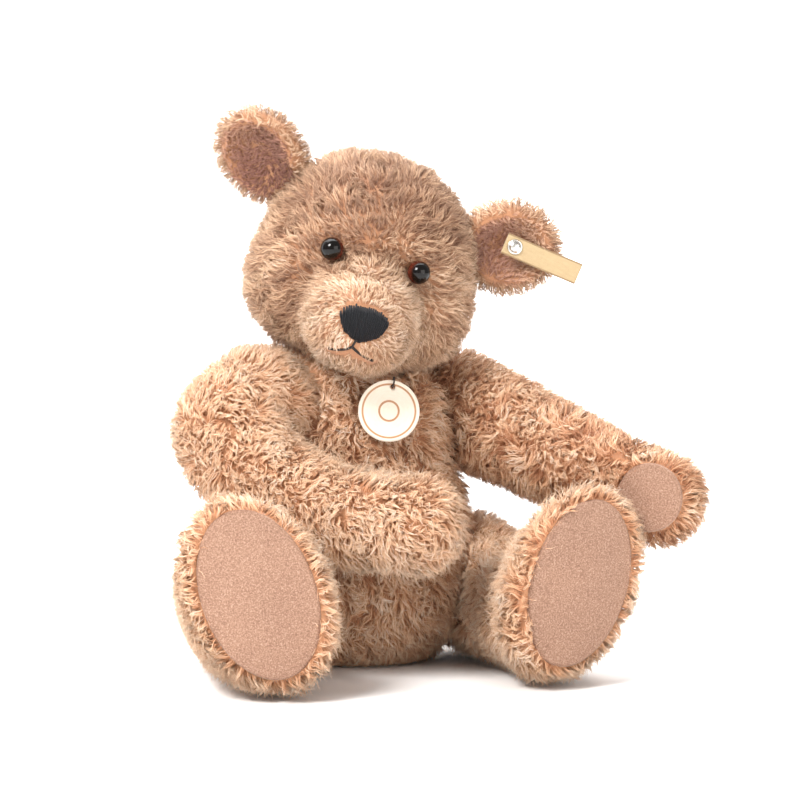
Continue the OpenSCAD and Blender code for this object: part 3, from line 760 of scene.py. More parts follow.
    # spatial chunks, so that each piece is one patch of pile
    order = np.argsort(np.digitize(Q[:, 2], np.linspace(Q[:, 2].min(), Q[:, 2].max(), 40)), kind="stable")
    parts = max(1, -(-n // MAXSTRANDS))
    out = []
    for i, idx in enumerate(np.array_split(order, parts)):
        k = len(idx)
        vs = V[idx].reshape(-1, 3) * 0.001
        tri = (T[None] + (np.arange(k) * (SEG * 3 + 1))[:, None, None]).reshape(-1, 3)
        me = bpy.data.meshes.new(f"{name}_{i + 1}")
        me.vertices.add(len(vs))
        me.vertices.foreach_set("co", vs.astype(np.float32).ravel())
        me.loops.add(tri.size)
        me.loops.foreach_set("vertex_index", tri.astype(np.int32).ravel())
        me.polygons.add(len(tri))
        me.polygons.foreach_set("loop_start", np.arange(0, tri.size, 3, dtype=np.int32))
        me.polygons.foreach_set("loop_total", np.full(len(tri), 3, dtype=np.int32))
        me.update(calc_edges=True)
        me.polygons.foreach_set("use_smooth", np.ones(len(tri), dtype=bool))
        uvl = me.uv_layers.new(name="OFBake")
        uvl.data.foreach_set("uv", U[idx].reshape(-1, 2)[tri.ravel()].astype(np.float32).ravel())
        nv = norm_rows(NV[idx].reshape(-1, 3))
        me.normals_split_custom_set_from_vertices(nv.astype(np.float32))
        me.materials.append(mat)
        ob = bpy.data.objects.new(f"{name}_{i + 1}", me)
        scene.collection.objects.link(ob)
        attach(ob, body)
        out.append(ob)
    return out


def shell(name, outer, inner, body, mat, cuts=()):
    """A cloth cover: an outer and an inner closed surface, with a hole where each joint bolt goes through."""
    (P, F), (P2, F2) = outer, inner
    F = outward(P, F)
    F2 = [tuple(reversed(f)) for f in outward(P2, F2)]
    ob = new_object(name, np.concatenate([P, P2]), list(F) + [tuple(i + len(P) for i in f) for f in F2], mat, body)
    for c, d, rad, h in cuts:
        me = bpy.data.meshes.new("cut")
        bm = bmesh.new()
        bmesh.ops.create_cone(bm, cap_ends=True, segments=32, radius1=rad * 0.001, radius2=rad * 0.001, depth=h * 0.001)
        M = aim(d)
        M4 = Matrix([[*M[i], c[i] * 0.001] for i in range(3)] + [[0, 0, 0, 1]])
        bm.transform(M4)
        bm.to_mesh(me)
        bm.free()
        co = bpy.data.objects.new("cut", me)
        scene.collection.objects.link(co)
        md = ob.modifiers.new("b", "BOOLEAN")
        md.operation = "DIFFERENCE"
        md.object = co
        md.solver = "EXACT"
        dg = bpy.context.evaluated_depsgraph_get()
        new = bpy.data.meshes.new_from_object(ob.evaluated_get(dg))
        ob.modifiers.clear()
        ob.data = new
        bpy.data.objects.remove(co)
    ob.data.polygons.foreach_set("use_smooth", [True] * len(ob.data.polygons))
    return ob


def down_lay(Q, N, down, k_random, seed, scale=9.0):
    """Combing: mostly towards down, with a random field on top."""
    w = wobble(Q, scale, seed)
    return np.asarray(down) + k_random * w


def shade_field(Q, base, seed, spread=0.16):
    r = np.random.default_rng(seed)
    f = wobble(Q, 4.0, seed + 50)[:, 0] * 0.12 + wobble(Q, 22.0, seed + 90)[:, 1] * 0.05
    return np.clip(base + f + r.normal(size=len(Q)) * spread, 0.02, 0.98)


DENS = 1.0


def tame(Q, L, LAY, joints):
    """Where two covers face each other at a joint the pile is short and lies flat, away from the bolt."""
    flat = np.zeros(len(Q), bool)
    for (c, n), rj in joints:
        d = Q - c
        h = d @ n
        rr = d - h[:, None] * n
        k = (np.abs(h) < 3.4) & (np.linalg.norm(d, axis=1) < rj)
        flat |= k
        L = np.where(k, np.minimum(L, 4.2), L)
        LAY = np.where(k[:, None], norm_rows(rr), LAY)
    return L, LAY, flat


# ------------------------------------------------------------------ torso
SKIN = 3.2
torso_o = star_mesh(T_C, T_E, SKIN, t_planes(0.25, 1.6), 112, 84)
torso_i = star_mesh(T_C, T_E, SKIN + 1.2, t_planes(1.35, 2.8), 64, 48)
cuts = [(j[0] - j[1] * 1.0, j[1], 4.2, 6.0) for j in ((NECK_P, NECK_U), R_SH, L_SH, R_HIP, L_HIP)]
torso = shell("torso_plush_cloth", torso_o, torso_i, "torso", M_BACK, cuts)
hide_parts("torso_cover")

TAG_C = np.array([-2.0, -51, 119.5])
TAG_N = unit([-0.22, -1, 0.10])


def keep_torso(Q, N):
    ok = np.ones(len(Q), bool)
    for j, rj in (((NECK_P, NECK_U), 27), (R_SH, 24.5), (L_SH, 24), (R_HIP, 28), (L_HIP, 28)):
        ok &= ((Q - j[0]) @ j[1] < -1.6) | (np.linalg.norm(Q - j[0], axis=1) > rj)
    ok &= ~((Q[:, 2] < 2.2) & (rng.uniform(size=len(Q)) < 0.6))
    return ok


Q, N = scatter(torso_o[0], outward(*torso_o), 1.95 * DENS, keep_torso)
L = np.full(len(Q), 9.5)
L = np.where(Q[:, 2] < 8, 7.0, L)
# the pile is shorter behind the card tag
dq = Q - TAG_C
rad = np.linalg.norm(dq - (dq @ TAG_N)[:, None] * TAG_N, axis=1)
tagz = (rad < 17) & (Q[:, 1] < -20)
L = np.where(tagz, 5.0, L)
LAY = down_lay(Q, N, (0, 0, -1), 0.85, 3, 7.5)
L, LAY, flat = tame(Q, L * 0.95, LAY, [((NECK_P, NECK_U), 36), (R_SH, 31), (L_SH, 31), (R_HIP, 38), (L_HIP, 38)])
build_pile("torso_pile", Q, N, LAY, L, 0.165, shade_field(Q, 0.5, 3), "torso", M_PILE, seed=5, flat=flat)

# ------------------------------------------------------------------ head
MUZ = np.array([1.0, -27.0])


def muzzle(P):
    d = np.hypot(P[:, 0] - MUZ[0], P[:, 2] + 26.0)
    return smooth(-P[:, 1], 26, 42) * (1 - smooth(d, 20, 29))


def crease(P):
    """The furrow where the muzzle meets the cheeks and the bridge."""
    d = np.hypot(P[:, 0] - MUZ[0], (P[:, 2] + 26.0) * 1.02)
    return smooth(-P[:, 1], 22, 36) * np.exp(-((d - 30.0) / 5.0) ** 2)


def head_inset(U):
    P = U * star_r(U, np.zeros(3), H_E, 0.0)[:, None]
    return 3.1 - 3.9 * muzzle(P) + 3.0 * crease(P)


def head_planes(k):
    return [((0, 0, -H_C[2]), np.array([0, 0, -1.0]), -(0) + G + k)]


hp = lambda k: [(np.array([0, 0, -H_C[2]]), np.array([0, 0, -1.0]), G + k)]
ho = star_mesh(np.zeros(3), H_E, head_inset, hp(0.25), 120, 90)
hi_ = star_mesh(np.zeros(3), H_E, lambda U: head_inset(U) + 1.2, hp(1.35), 64, 48)
P_eye = [head_at(l, u) for l, u in EYE]
D_eye = [unit(p) for p in P_eye]
P_nose = head_at(1, -22.3, -1.5)
R_nose = aim(P_nose) @ rot_z(90)
# a shallow dimple round each eye, as the eye's stem pulls the cloth in
for pe, de in zip(P_eye, D_eye):
    for S in (ho, hi_):
        d = np.linalg.norm(S[0] - pe, axis=1)
        S[0][:] -= de * (1.6 * np.exp(-(d / 8.0) ** 2))[:, None]
head = shell("head_plush_cloth", (to_head(ho[0]), ho[1]), (to_head(hi_[0]), hi_[1]), "head", M_BACK, [(NECK_P + NECK_U * 1.0, NECK_U, 3.1, 6.0)])
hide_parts("head_cover")


def seg_dist(P, a, b):
    ab = b - a
    t = np.clip(((P - a) @ ab) / (ab @ ab), 0, 1)
    return np.linalg.norm(P - (a + t[:, None] * ab), axis=1)


MOUTH = [[(0, -27.3), (-0.8, -30.3)], [(-0.8, -30.3), (-3.6, -33.2), (-10, -34.6)], [(-0.8, -30.3), (3.2, -33.0), (9.5, -34.6)]]
mouth_pts = [[head_at(l, u, 1.1) for l, u in line] for line in MOUTH]


def nose_local(P):
    return (P - P_nose) @ R_nose


NW, NH = 11.4, 8.0


def keep_head(P, Nn):
    ok = (P[:, 2] > -H_C[2] + 1.8) | (np.hypot(P[:, 0] + H_C[0], P[:, 1] + H_C[1]) > 27)
    for pe in P_eye:
        ok &= np.linalg.norm(P - pe, axis=1) > 5.6
    q = nose_local(P)
    a = np.minimum(1, np.abs(q[:, 0] / (1 - 0.1 * smooth(-q[:, 1], -7, 7))) / (NW - 0.7))
    top = NH * (1 - a ** 2.6) ** (1 / 2.2) - 0.6
    bot = -NH * 0.86 * (1 - a ** 2.5) ** (1 / 1.7) + 0.5
    ok &= ~((q[:, 2] > -12) & (a < 1) & (q[:, 1] < top) & (q[:, 1] > bot))
    for line in mouth_pts:
        for a, b in zip(line, line[1:]):
            ok &= seg_dist(P, a, b) > 1.9
    return ok


Q, N = scatter(ho[0], outward(*ho), 3.4 * DENS, keep_head)
mz = muzzle(Q)
keep = rng.uniform(size=len(Q)) < 0.72 + 0.28 * mz
Q, N, mz = Q[keep], N[keep], mz[keep]
d_eye = np.minimum(*[np.linalg.norm(Q - pe, axis=1) for pe in P_eye])
q = nose_local(Q)
d_nose = np.hypot(q[:, 0] / 11.2, (q[:, 1] + 0.6) / 7.6)
L = (6.9 - 2.5 * mz) * (1 + 0.16 * wobble(Q, 7.0, 23)[:, 0])
L = np.where(d_eye < 11, np.minimum(L, 3.6 + 0.33 * (d_eye - 5)), L)
L = np.where((d_nose < 1.5) & (mz > 0.3), np.minimum(L, 3.4), L)
d_mouth = np.min([seg_dist(Q, a, b) for line in mouth_pts for a, b in zip(line, line[1:])], axis=0)
L = np.where(d_mouth < 5, np.minimum(L, 2.2 + 0.4 * d_mouth), L)
# combed away from the nose, and outwards and down over the rest of the head
away = Q - np.array([1, -46, -18.0])
LAY = norm_rows(away) * 1.0 + np.array([0, 0, -0.25]) + 0.8 * wobble(Q, 6.5, 21)
for pe in P_eye:
    e = Q - pe
    k = np.exp(-(np.linalg.norm(e, axis=1) / 8) ** 2)[:, None]
    LAY = LAY * (1 - k) + norm_rows(e) * k * 1.6
e = Q - P_nose
k = (np.exp(-(np.linalg.norm(e, axis=1) / 14) ** 2) * mz)[:, None]
LAY = LAY * (1 - k) + norm_rows(e) * k * 2.0
# the muzzle is lighter and the top front of the head darker; painted shade darkens the furrow round the muzzle
sh = shade_field(Q, 0.33, 22, 0.18) + 0.22 * mz - 0.12 * crease(Q) - 0.2 * smooth(Q[:, 2], 0, 22) * smooth(-Q[:, 1], -10, 25)
# painted shade: a darker ring of pile round each eye socket
sh = np.clip(sh - 0.16 * np.exp(-((d_eye - 5) / 3.0) ** 2), 0.02, 0.98)
L, LAY, flat = tame(Q, L, LAY, [((np.array([-H_C[0], -H_C[1], -H_C[2]]), np.array([0, 0, 1.0])), 38)])
Qw, Nw, Lw = to_head(Q), N @ H_R.T, LAY @ H_R.T
m1 = mz > 0.5
build_pile("head_pile", Qw[~m1], Nw[~m1], Lw[~m1], L[~m1], 0.145, sh[~m1], "head", M_PILE_HEAD, lean=(18, 62), curl=0.9, seed=6, jumble=0.8, clump=8, tight=0.66, SEG=2, flat=flat[~m1])
build_pile("muzzle_pile", Qw[m1], Nw[m1], Lw[m1], L[m1], 0.14, sh[m1], "head", M_PILE_HEAD, lean=(24, 58), curl=0.5, clump=6, tight=0.55, seed=7, jumble=0.8, SEG=2)

# ------------------------------------------------------------------ ears
from_ear = [("right", -1, 34, 4, (-51, 2, 29), 50), ("left", 1, 10, 4, (53, 0, 19), 75)]


def ellipsoid(r, c, M, t, seg=64, rings=40):
    P = [[0, 0, -1.0]]
    for j in range(1, rings):
        f = math.radians(-90 + 180 * j / rings)
        for i in range(seg):
            a = 2 * math.pi * i / seg
            P.append([math.cos(f) * math.cos(a), math.cos(f) * math.sin(a), math.sin(f)])
    P.append([0, 0, 1.0])
    P = np.array(P) * np.array(r) + np.array(c)
    F = ring_faces(seg, rings - 1)
    return P @ M.T + t, outward(P, F)


BTN = np.array([64, -9.6, 22.0])
BTN_M = aim([0.05, -1, 0.05]) @ rot_z(81)
for side, s, turn, lean_, root, tilt in from_ear:
    M = rot_y(s * tilt) @ (rot_z(s * turn) @ rot_x(lean_))
    MW, TW = H_R @ M, H_O + H_R @ np.array(root, float)
    Po, Fo = ellipsoid((22.5 - 2.6, 10.5 - 2.6, 25 - 2.6), (0, 0, 9), MW, TW)
    Pi, Fi = ellipsoid((17.5 + 0.4, 9.5 + 0.8, 19.5 + 0.6), (0, -10.5, 10), MW, TW)
    ob = new_object(f"{side}_ear_plush_cloth", Po, Fo, M_BACK, "head")
    co = new_object("cut", Pi, Fi, M_BACK, "head")
    md = ob.modifiers.new("b", "BOOLEAN")
    md.operation, md.object, md.solver = "DIFFERENCE", co, "EXACT"
    rm = ob.modifiers.new("r", "REMESH")
    rm.mode, rm.voxel_size = "VOXEL", 0.0009
    sm = ob.modifiers.new("s", "SMOOTH")
    sm.iterations, sm.factor = 6, 0.5
    dg = bpy.context.evaluated_depsgraph_get()
    me = bpy.data.meshes.new_from_object(ob.evaluated_get(dg))
    ob.modifiers.clear()
    ob.data = me
    me.materials.clear()
    me.materials.append(M_BACK)
    me.polygons.foreach_set("use_smooth", [True] * len(me.polygons))
    bpy.data.objects.remove(co)
    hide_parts(f"{side}_ear")
    P = np.array([v.co[:] for v in me.vertices]) * 1000
    F = [tuple(p.vertices) for p in me.polygons]
    F = outward(P, F)
    # inside the cup, in the ear's own frame
    loc = lambda X: (X - TW) @ MW
    hc, hr = np.array([0, -10.5, 10]), np.array([17.5 + 0.4, 9.5 + 0.8, 19.5 + 0.6])

    def inside(X):
        d = (((loc(X) - hc) / (hr + 1.2)) ** 2).sum(1)
        return d < 1

    skull = lambda X: ((((X - H_O) @ H_R - np.array([0, 1, 2])) / np.array([48, 45.5, 45.5])) ** 2).sum(1) < 1
    kp = lambda X, Nn: ~skull(X)
    Q, N = scatter(P, F, 3.0 * DENS, kp)
    ins = inside(Q)
    thin = rng.uniform(size=len(Q)) < np.where(ins, 1.0, 0.62)
    Q, N, ins = Q[thin], N[thin], ins[thin]
    if side == "left":
        b = ((Q - H_O) @ H_R - BTN) @ BTN_M
        near_btn = (np.hypot(b[:, 0], b[:, 1]) < 4.2) & (b[:, 2] > -8)
        near_rib = (b[:, 0] > -6) & (b[:, 0] < 34) & (np.abs(b[:, 1]) < 5.4) & (b[:, 2] > -6)
        Q, N, ins = Q[~near_btn & ~(near_rib & ins)], N[~near_btn & ~(near_rib & ins)], ins[~near_btn & ~(near_rib & ins)]
    up = MW @ np.array([0, 0, 1.0])
    LAYo = -0.3 * up + norm_rows(Q - TW) * 0.7 + 1.0 * wobble(Q, 7.0, 31)
    LAYi = 0.8 * up + 0.8 * wobble(Q, 7.0, 32)
    build_pile(f"{side}_ear_pile", Q[~ins], N[~ins], LAYo[~ins], 6.0, 0.14, shade_field(Q[~ins], 0.46, 33), "head", M_PILE_HEAD, lean=(12, 64), curl=0.9, seed=8, jumble=1.1, clump=4, tight=0.34, SEG=2)
    # painted shade inside the cup: the pile is darker towards the middle and lower down, and much darker in the right
    # ear
    build_pile(f"{side}_ear_inner_pile", Q[ins], N[ins], LAYi[ins], 4.2, 0.15, np.clip((0.08 if side == "right" else 0.42) + 0.62 * smooth((((loc(Q[ins]) - hc) / (hr + 1.2)) ** 2).sum(1) + 0.45 * loc(Q[ins])[:, 2] / 30, 0.75, 1.35) + 0.12 * rng.normal(size=ins.sum()), 0.02, 0.98), "head", M_PILE_EAR_SHADE, lean=(35, 66), curl=0.4, seed=9, clump=5, SEG=2)

# ------------------------------------------------------------------ arms and legs
for side, R, T, j, palm, sd in (("right", RA_R, RA_T, R_SH, RA_PALM, 41), ("left", LA_R, LA_T, L_SH, LA_PALM, 51)):
    A = arm_mesh(R, T, j, palm, 3.0, 0.25, 0.2)
    B = arm_mesh(R, T, j, palm, 4.2, 1.35, 1.4, 48, 8)
    ob = shell(f"{side}_arm_plush_cloth", A, B, f"{side}_arm", M_BACK, [(j[0] + j[1] * 1.0, j[1], 3.1, 6.0)])
    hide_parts(f"{side}_arm_cover")
    pc, pn = palm[0], palm[1]

    def keep_arm(Q, N):
        ok = ((Q - j[0]) @ j[1] > 1.8) | (np.linalg.norm(Q - j[0], axis=1) > 25)
        d = Q - pc
        h = d @ pn
        rr = np.linalg.norm(d - h[:, None] * pn, axis=1)
        return ok & ~((rr < 14.6) & (h < 3))

    Q, N = scatter(A[0], outward(*A), 2.1 * DENS, keep_arm)
    d = Q - pc
    h = d @ pn
    rr = np.linalg.norm(d - h[:, None] * pn, axis=1)
    nearpad = (h < 6) & (rr < 22)
    L = np.where(nearpad, 6.5, 9.3)
    tip = np.array([unit(T[-1])] * len(Q))
    LAY = tip * 0.8 + np.array([0, 0, -0.5]) + 0.9 * wobble(Q, 7.5, sd)
    # the pile leans off the pad all round
    e = norm_rows(d - h[:, None] * pn)
    k = (np.exp(-((rr - 14) / 5) ** 2) * (h < 6))[:, None]
    LAY = LAY * (1 - k) + (e + 0.25 * LAY) * k
    L, LAY, flat = tame(Q, L * 0.95, LAY, [(j, 30)])
    # painted shade: the left arm's pile is given a darker tone than the right arm's
    build_pile(f"{side}_arm_pile", Q, N, LAY, L, 0.16, shade_field(Q, 0.55 if side == "right" else 0.4, sd), f"{side}_arm", M_PILE, seed=sd, flat=flat)


def oval_pad(name, a, b, frame_o, M, base, h, crown, body, node, rings=22, nt=96, edge=1.3):
    """A stuffed pad: flat back, rounded rim and a soft crown. M's columns are its axes, the last one outwards."""
    P, F = [], []
    prof = []
    for i in range(9):
        f = i / 8 * math.pi / 2
        prof.append((1 - edge / min(a, b) * (1 - math.sin(f)) * 0.0, h * 0))
    radii = []
    # back face, then the rim, then the crown
    for i in range(4):
        radii.append(((i + 1) / 5 * 0.98, 0.0))
    for i in range(7):
        f = i / 6 * math.pi / 2
        radii.append((1 - edge / a * (1 - math.cos(f)), h * math.sin(f)))
    rim = radii[-1][0]
    for i in range(1, rings):
        t = 1 - i / rings
        radii.append((rim * t, h + crown * (1 - t * t) ** 1.2))
    pts = [[0, 0, base]]
    for k, z in radii:
        for i in range(nt):
            an = 2 * math.pi * i / nt
            x, y = math.cos(an), math.sin(an)
            pk = 0.10 * math.sin(44 * an) * math.exp(-((k - 0.97) / 0.05) ** 2) if z > 0 else 0
            lump = crown * 0.16 * (math.sin(3.1 * x * k + 1.3) + math.sin(4.3 * y * k + 0.4) * math.cos(2.2 * x * k)) * (1 - k) if z > h else 0
            pts.append([a * x * k, b * y * k, base + z + pk + lump])
    pts.append([0, 0, base + h + crown * 1.0 + crown * 0.16 * (math.sin(1.3) + math.sin(0.4))])
    P = np.array(pts) @ M.T + frame_o
    F = outward(P - P.mean(0), ring_faces(nt, len(radii)))
    ob = new_object(name, P, F, M_PAD, body)
    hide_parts(node)
    return ob


for side, palm, T in (("right", RA_PALM, RA_T), ("left", LA_PALM, LA_T)):
    n = -palm[1]
    x = unit(np.cross([0, 0, 1.0], n))
    M = np.stack([x, np.cross(n, x), n], 1)
    oval_pad(f"{side}_paw_velour_pad", 15.4, 15.4, palm[0], M, 0.05, 1.5, 1.5, f"{side}_arm", f"{side}_paw_pad")

for side, R, T, j, s, sd in (("right", RL_R, RL_T, R_HIP, 1, 61), ("left", LL_R, LL_T, L_HIP, -1, 71)):
    A = leg_mesh(R, T, j, 3.0, 0.25, 2.15)
    B = leg_mesh(R, T, j, 4.2, 1.35, 0.35, 48, 5)
    ob = shell(f"{side}_leg_plush_cloth", A, B, f"{side}_leg", M_BACK, [(j[0] + j[1] * 1.0, j[1], 3.1, 6.0)])
    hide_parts(f"{side}_leg_cover")
    v, M, t = sole_frame(R, T, s)

    def keep_leg(Q, N):
        ok = ((Q - j[0]) @ j[1] > 1.8) | (np.linalg.norm(Q - j[0], axis=1) > 29)
        q = (Q - v) @ M
        ok &= ~((q[:, 2] > 1.0) & ((q[:, 0] / 23.8) ** 2 + (q[:, 1] / 37.0) ** 2 < 1))
        ok &= ~((Q[:, 2] < 3.4) & (rng.uniform(size=len(Q)) < 0.5))
        return ok

    Q, N = scatter(A[0], outward(*A), 1.95 * DENS, keep_leg)
    q = (Q - v) @ M
    ov = np.hypot(q[:, 0] / 23.8, q[:, 1] / 37.0)
    front = (q[:, 2] > -6) & (ov < 1.35)
    L = np.where(front, 7.2, 9.5)
    L = np.where(Q[:, 2] < 8, np.minimum(L, 7.5), L)
    LAY = np.array([t * 0.5 + np.array([0, 0, -0.55])] * len(Q)) + 0.9 * wobble(Q, 7.5, sd)
    e = np.stack([q[:, 0] / 25.2 ** 2, q[:, 1] / 38.2 ** 2, np.zeros(len(q))], 1) @ M.T
    e = norm_rows(e)
    k = np.where(front, 0.75, 0)[:, None]
    LAY = LAY * (1 - k) + (e + 0.3 * LAY) * k
    L, LAY, flat = tame(Q, L * 0.95, LAY, [(j, 36)])
    build_pile(f"{side}_leg_pile", Q, N, LAY, L, 0.165, shade_field(Q, 0.55, sd), f"{side}_leg", M_PILE, seed=sd, flat=flat)
    oval_pad(f"{side}_sole_velour_pad", 24.6, 37.8, v, M, 2.2, 1.6, 2.0, f"{side}_leg", f"{side}_sole_pad", edge=1.6)


# ------------------------------------------------------------------ eyes, nose and mouth
def add_uv(ob, uv):
    me = ob.data
    l = me.uv_layers.new(name="OFBake")
    idx = np.empty(len(me.loops), np.int32)
    me.loops.foreach_get("vertex_index", idx)
    l.data.foreach_set("uv", np.asarray(uv)[idx].astype(np.float32).ravel())


for side, (l, u) in (("left", EYE[0]), ("right", EYE[1])):
    p = head_at(l, u)
    M = H_R @ aim(p)
    R_ = 5.25
    seg, rings = 64, 44
    prof = [(R_ * math.sin(math.pi * k / rings), R_ * math.cos(math.pi * k / rings), k / rings) for k in range(1, rings)]
    # the back runs into the stem
    pts, uv = [[0, 0, R_]], [[0.5, 0.0]]
    for rr, z, vv in prof:
        if z < -4.6:
            rr = max(rr, 1.5) if rr < 1.5 else rr
        for i in range(seg):
            a = 2 * math.pi * i / seg
            pts.append([rr * math.cos(a), rr * math.sin(a), z])
            uv.append([i / seg, vv])
    for z in (-7.0, -9.0, -11.9):
        for i in range(seg):
            a = 2 * math.pi * i / seg
            pts.append([1.5 * math.cos(a), 1.5 * math.sin(a), z])
            uv.append([i / seg, 1.0])
    pts.append([0, 0, -12.0])
    uv.append([0.5, 1.0])
    P = np.array(pts) @ M.T + to_head(p[None])[0]
    F = outward(P - P.mean(0), ring_faces(seg, rings - 1 + 3))
    ob = new_object(f"{side}_glass_eye", P, F, M_EYE, "head")
    add_uv(ob, uv)
    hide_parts(f"{side}_eye")


def tube(path, ra, rb=None, nrm=None, seg=10, ends=0.6):
    """A closed thread along a path, with rounded ends. ra is across, rb along nrm."""
    path = np.asarray(path, float)
    rb = ra if rb is None else rb
    n = len(path)
    tan = np.gradient(path, axis=0)
    tan = norm_rows(tan)
    nrm = np.broadcast_to(nrm, path.shape) if nrm is not None else np.broadcast_to([0, 0, 1.0], path.shape)
    sx = norm_rows(np.cross(tan, nrm))
    sy = np.cross(sx, tan)
    w = np.ones(n)
    w[0] = w[-1] = ends
    P, uv = [path[0] - tan[0] * ra * 0.4], [[0.5, 0]]
    for k in range(n):
        for i in range(seg):
            a = 2 * math.pi * i / seg
            P.append(path[k] + sx[k] * ra * w[k] * math.cos(a) + sy[k] * rb * w[k] * math.sin(a))
            uv.append([i / seg, k / (n - 1)])
    P.append(path[-1] + tan[-1] * ra * 0.4)
    uv.append([0.5, 1])
    return np.array(P), ring_faces(seg, n), uv


def join_tubes(name, tubes, mat, body, M=None, t=None):
    P, F, UV, off = [], [], [], 0
    for p, f, uv in tubes:
        f = outward(p - p.mean(0), f)
        P.append(p)
        F += [tuple(i + off for i in q) for q in f]
        UV += uv
        off += len(p)
    P = np.concatenate(P)
    if M is not None:
        P = P @ M.T + t
    ob = new_object(name, P, F, mat, body)
    add_uv(ob, UV)
    return ob


# the nose: upright satin stitches laid side by side over a padded patch
def nose_edges(x):
    a = min(1, abs(x) / NW)
    top = NH * (1 - a ** 2.6) ** (1 / 2.2)
    bot = -NH * 0.86 * (1 - a ** 2.5) ** (1 / 1.7) - 1.6 * math.exp(-(x / 3.4) ** 2)
    return top, bot


def nose_z(x, y):
    a = (x / (NW + 0.9)) ** 2 + ((y + 0.8) / (NH + 2.2)) ** 2
    return 1.2 + 4.0 * math.sqrt(max(0.0, 1 - a))


tubes = []
step = 0.98
xs = np.arange(-NW + 0.55, NW - 0.3, step)
for i, x in enumerate(xs):
    x = x + rng.normal() * 0.05
    top, bot = nose_edges(x)
    top += rng.normal() * 0.18
    bot += rng.normal() * 0.18
    if top - bot < 1.0:
        continue
    ts = np.linspace(0, 1, 16)
    path = []
    for t in ts:
        y = top + (bot - top) * t
        edge = min(t, 1 - t)
        z = nose_z(x, y) - 3.0 * max(0.0, 1 - edge / 0.09) ** 1.5
        path.append([x * (1 - 0.2 * t) + 0.06 * math.sin(t * 5 + i), y, z + (i % 3) * 0.05])
    p, f, uv = tube(path, 0.60, 0.5, [0, 0, 1.0], 10, 0.7)
    uv = [[(a + i * 0.37) % 1.0, b] for a, b in uv]
    tubes.append((p, f, uv))
# the padding under the stitches
seg, rings = 48, 20
pts = [[0, 0, -4.2]]
for j in range(1, rings):
    f = math.radians(-90 + 180 * j / rings)
    for i in range(seg):
        a = 2 * math.pi * i / seg
        c = math.cos(f) ** 0.8
        x = (NW - 1.0) * c * math.cos(a)
        top, bot = nose_edges(x)
        yy = math.sin(a) * c
        y = yy * (top - 0.6) if yy > 0 else -yy * (bot + 0.8) if bot < -0.8 else 0
        z = nose_z(x, y) * math.sin(f) * 0.93 if f > 0 else 4.2 * math.sin(f)
        pts.append([x, y, z])
pts.append([0, 0, nose_z(0, 0) * 0.93])
pts = np.array(pts)
tubes.append((pts, ring_faces(seg, rings - 1), [[0.5, 0.5]] * len(pts)))
ob = join_tubes("nose_satin_stitches", tubes, M_NOSE, "head", H_R @ R_nose, to_head(P_nose[None])[0])
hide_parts("nose_stitching")

tubes = []
for line in MOUTH:
    ctrl = [head_at(l, u, 0.9) for l, u in line]
    ctrl = [np.array(c) for c in ctrl]
    if len(ctrl) == 2:
        path = [ctrl[0] + (ctrl[1] - ctrl[0]) * t for t in np.linspace(0, 1, 8)]
    else:
        path = [(1 - t) ** 2 * ctrl[0] + 2 * t * (1 - t) * ctrl[1] + t * t * ctrl[2] for t in np.linspace(0, 1, 18)]
    path = np.array(path)
    nr = norm_rows(path)
    tubes.append(tube(path + nr * 0.35, 0.5, 0.45, nr, 10, 0.7))
    tubes.append(tube(path + nr * 0.1 + np.array([0, 0, 0.6]) + nr * 0.3, 0.3, 0.28, nr, 8, 0.7))
ob = join_tubes("mouth_threads", tubes, M_MOUTH, "head", H_R, H_O)
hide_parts("mouth_stitching")

# ------------------------------------------------------------------ ear button and ribbon
MB, TB = H_R @ BTN_M, to_head(BTN[None])[0]
prof = [(0.0, -5), (1.1, -5), (1.1, 0.85), (3.2, 0.85), (3.45, 1.0), (3.55, 1.3), (3.5, 1.55), (3.2, 1.75), (2.95, 1.72), (2.75, 1.78), (2.4, 2.2), (1.8, 2.55), (1.1, 2.78), (0.5, 2.88)]
seg = 64
pts, uv = [[0, 0, -5.0]], [[0.5, 0.0]]
for r_, z in prof[1:]:
    for i in range(seg):
        a = 2 * math.pi * i / seg
        pts.append([r_ * math.cos(a), r_ * math.sin(a), z])
        uv.append([0.5 + 0.5 * math.cos(a) * r_ / 4, 0.5 + 0.5 * math.sin(a) * r_ / 4])
pts.append([0, 0, 2.9])
uv.append([0.5, 0.5])
P = np.array(pts) @ MB.T + TB
ob = new_object("ear_button_dome", P, outward(P - P.mean(0), ring_faces(seg, len(prof) - 1)), M_BUTTON, "head")
add_uv(ob, uv)
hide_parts("ear_button")

# the ribbon: 37 by 10 mm, lying flat under the button and lifting off the ear towards its end
nx, ny = 60, 16
top, bot, uvt = [], [], []
for i in range(nx + 1):
    x = -5 + 37 * i / nx
    t = i / nx
    lift = 0.35 + 2.0 * max(0, t - 0.3) ** 2 * 2.2 + 0.25 * math.sin(t * 9)
    for k in range(ny + 1):
        y = -5 + 10 * k / ny
        w = 0.32 * math.sin(t * 7 + 1) * (k / ny - 0.5) + 0.1 * math.cos((k / ny - 0.5) * 6.28)
        sel = 0.07 if k in (0, ny) else 0
        z = lift + w * t
        z += 0.035 * math.sin(x * 6.28 / 0.9)
        top.append([x, y, z + 0.22 + sel])
        bot.append([x, y, z - 0.22 - sel])
        uvt.append([x / 37 + 0.135, 0.5 + y / 10.2])
nv = len(top)
F = []
for i in range(nx):
    for k in range(ny):
        a = i * (ny + 1) + k
        b = a + ny + 1
        F.append((a, b, b + 1, a + 1))
        F.append((nv + a, nv + a + 1, nv + b + 1, nv + b))
for i in range(nx):
    a, b = i * (ny + 1), (i + 1) * (ny + 1)
    F.append((a, nv + a, nv + b, b))
    a, b = a + ny, b + ny
    F.append((a, b, nv + b, nv + a))
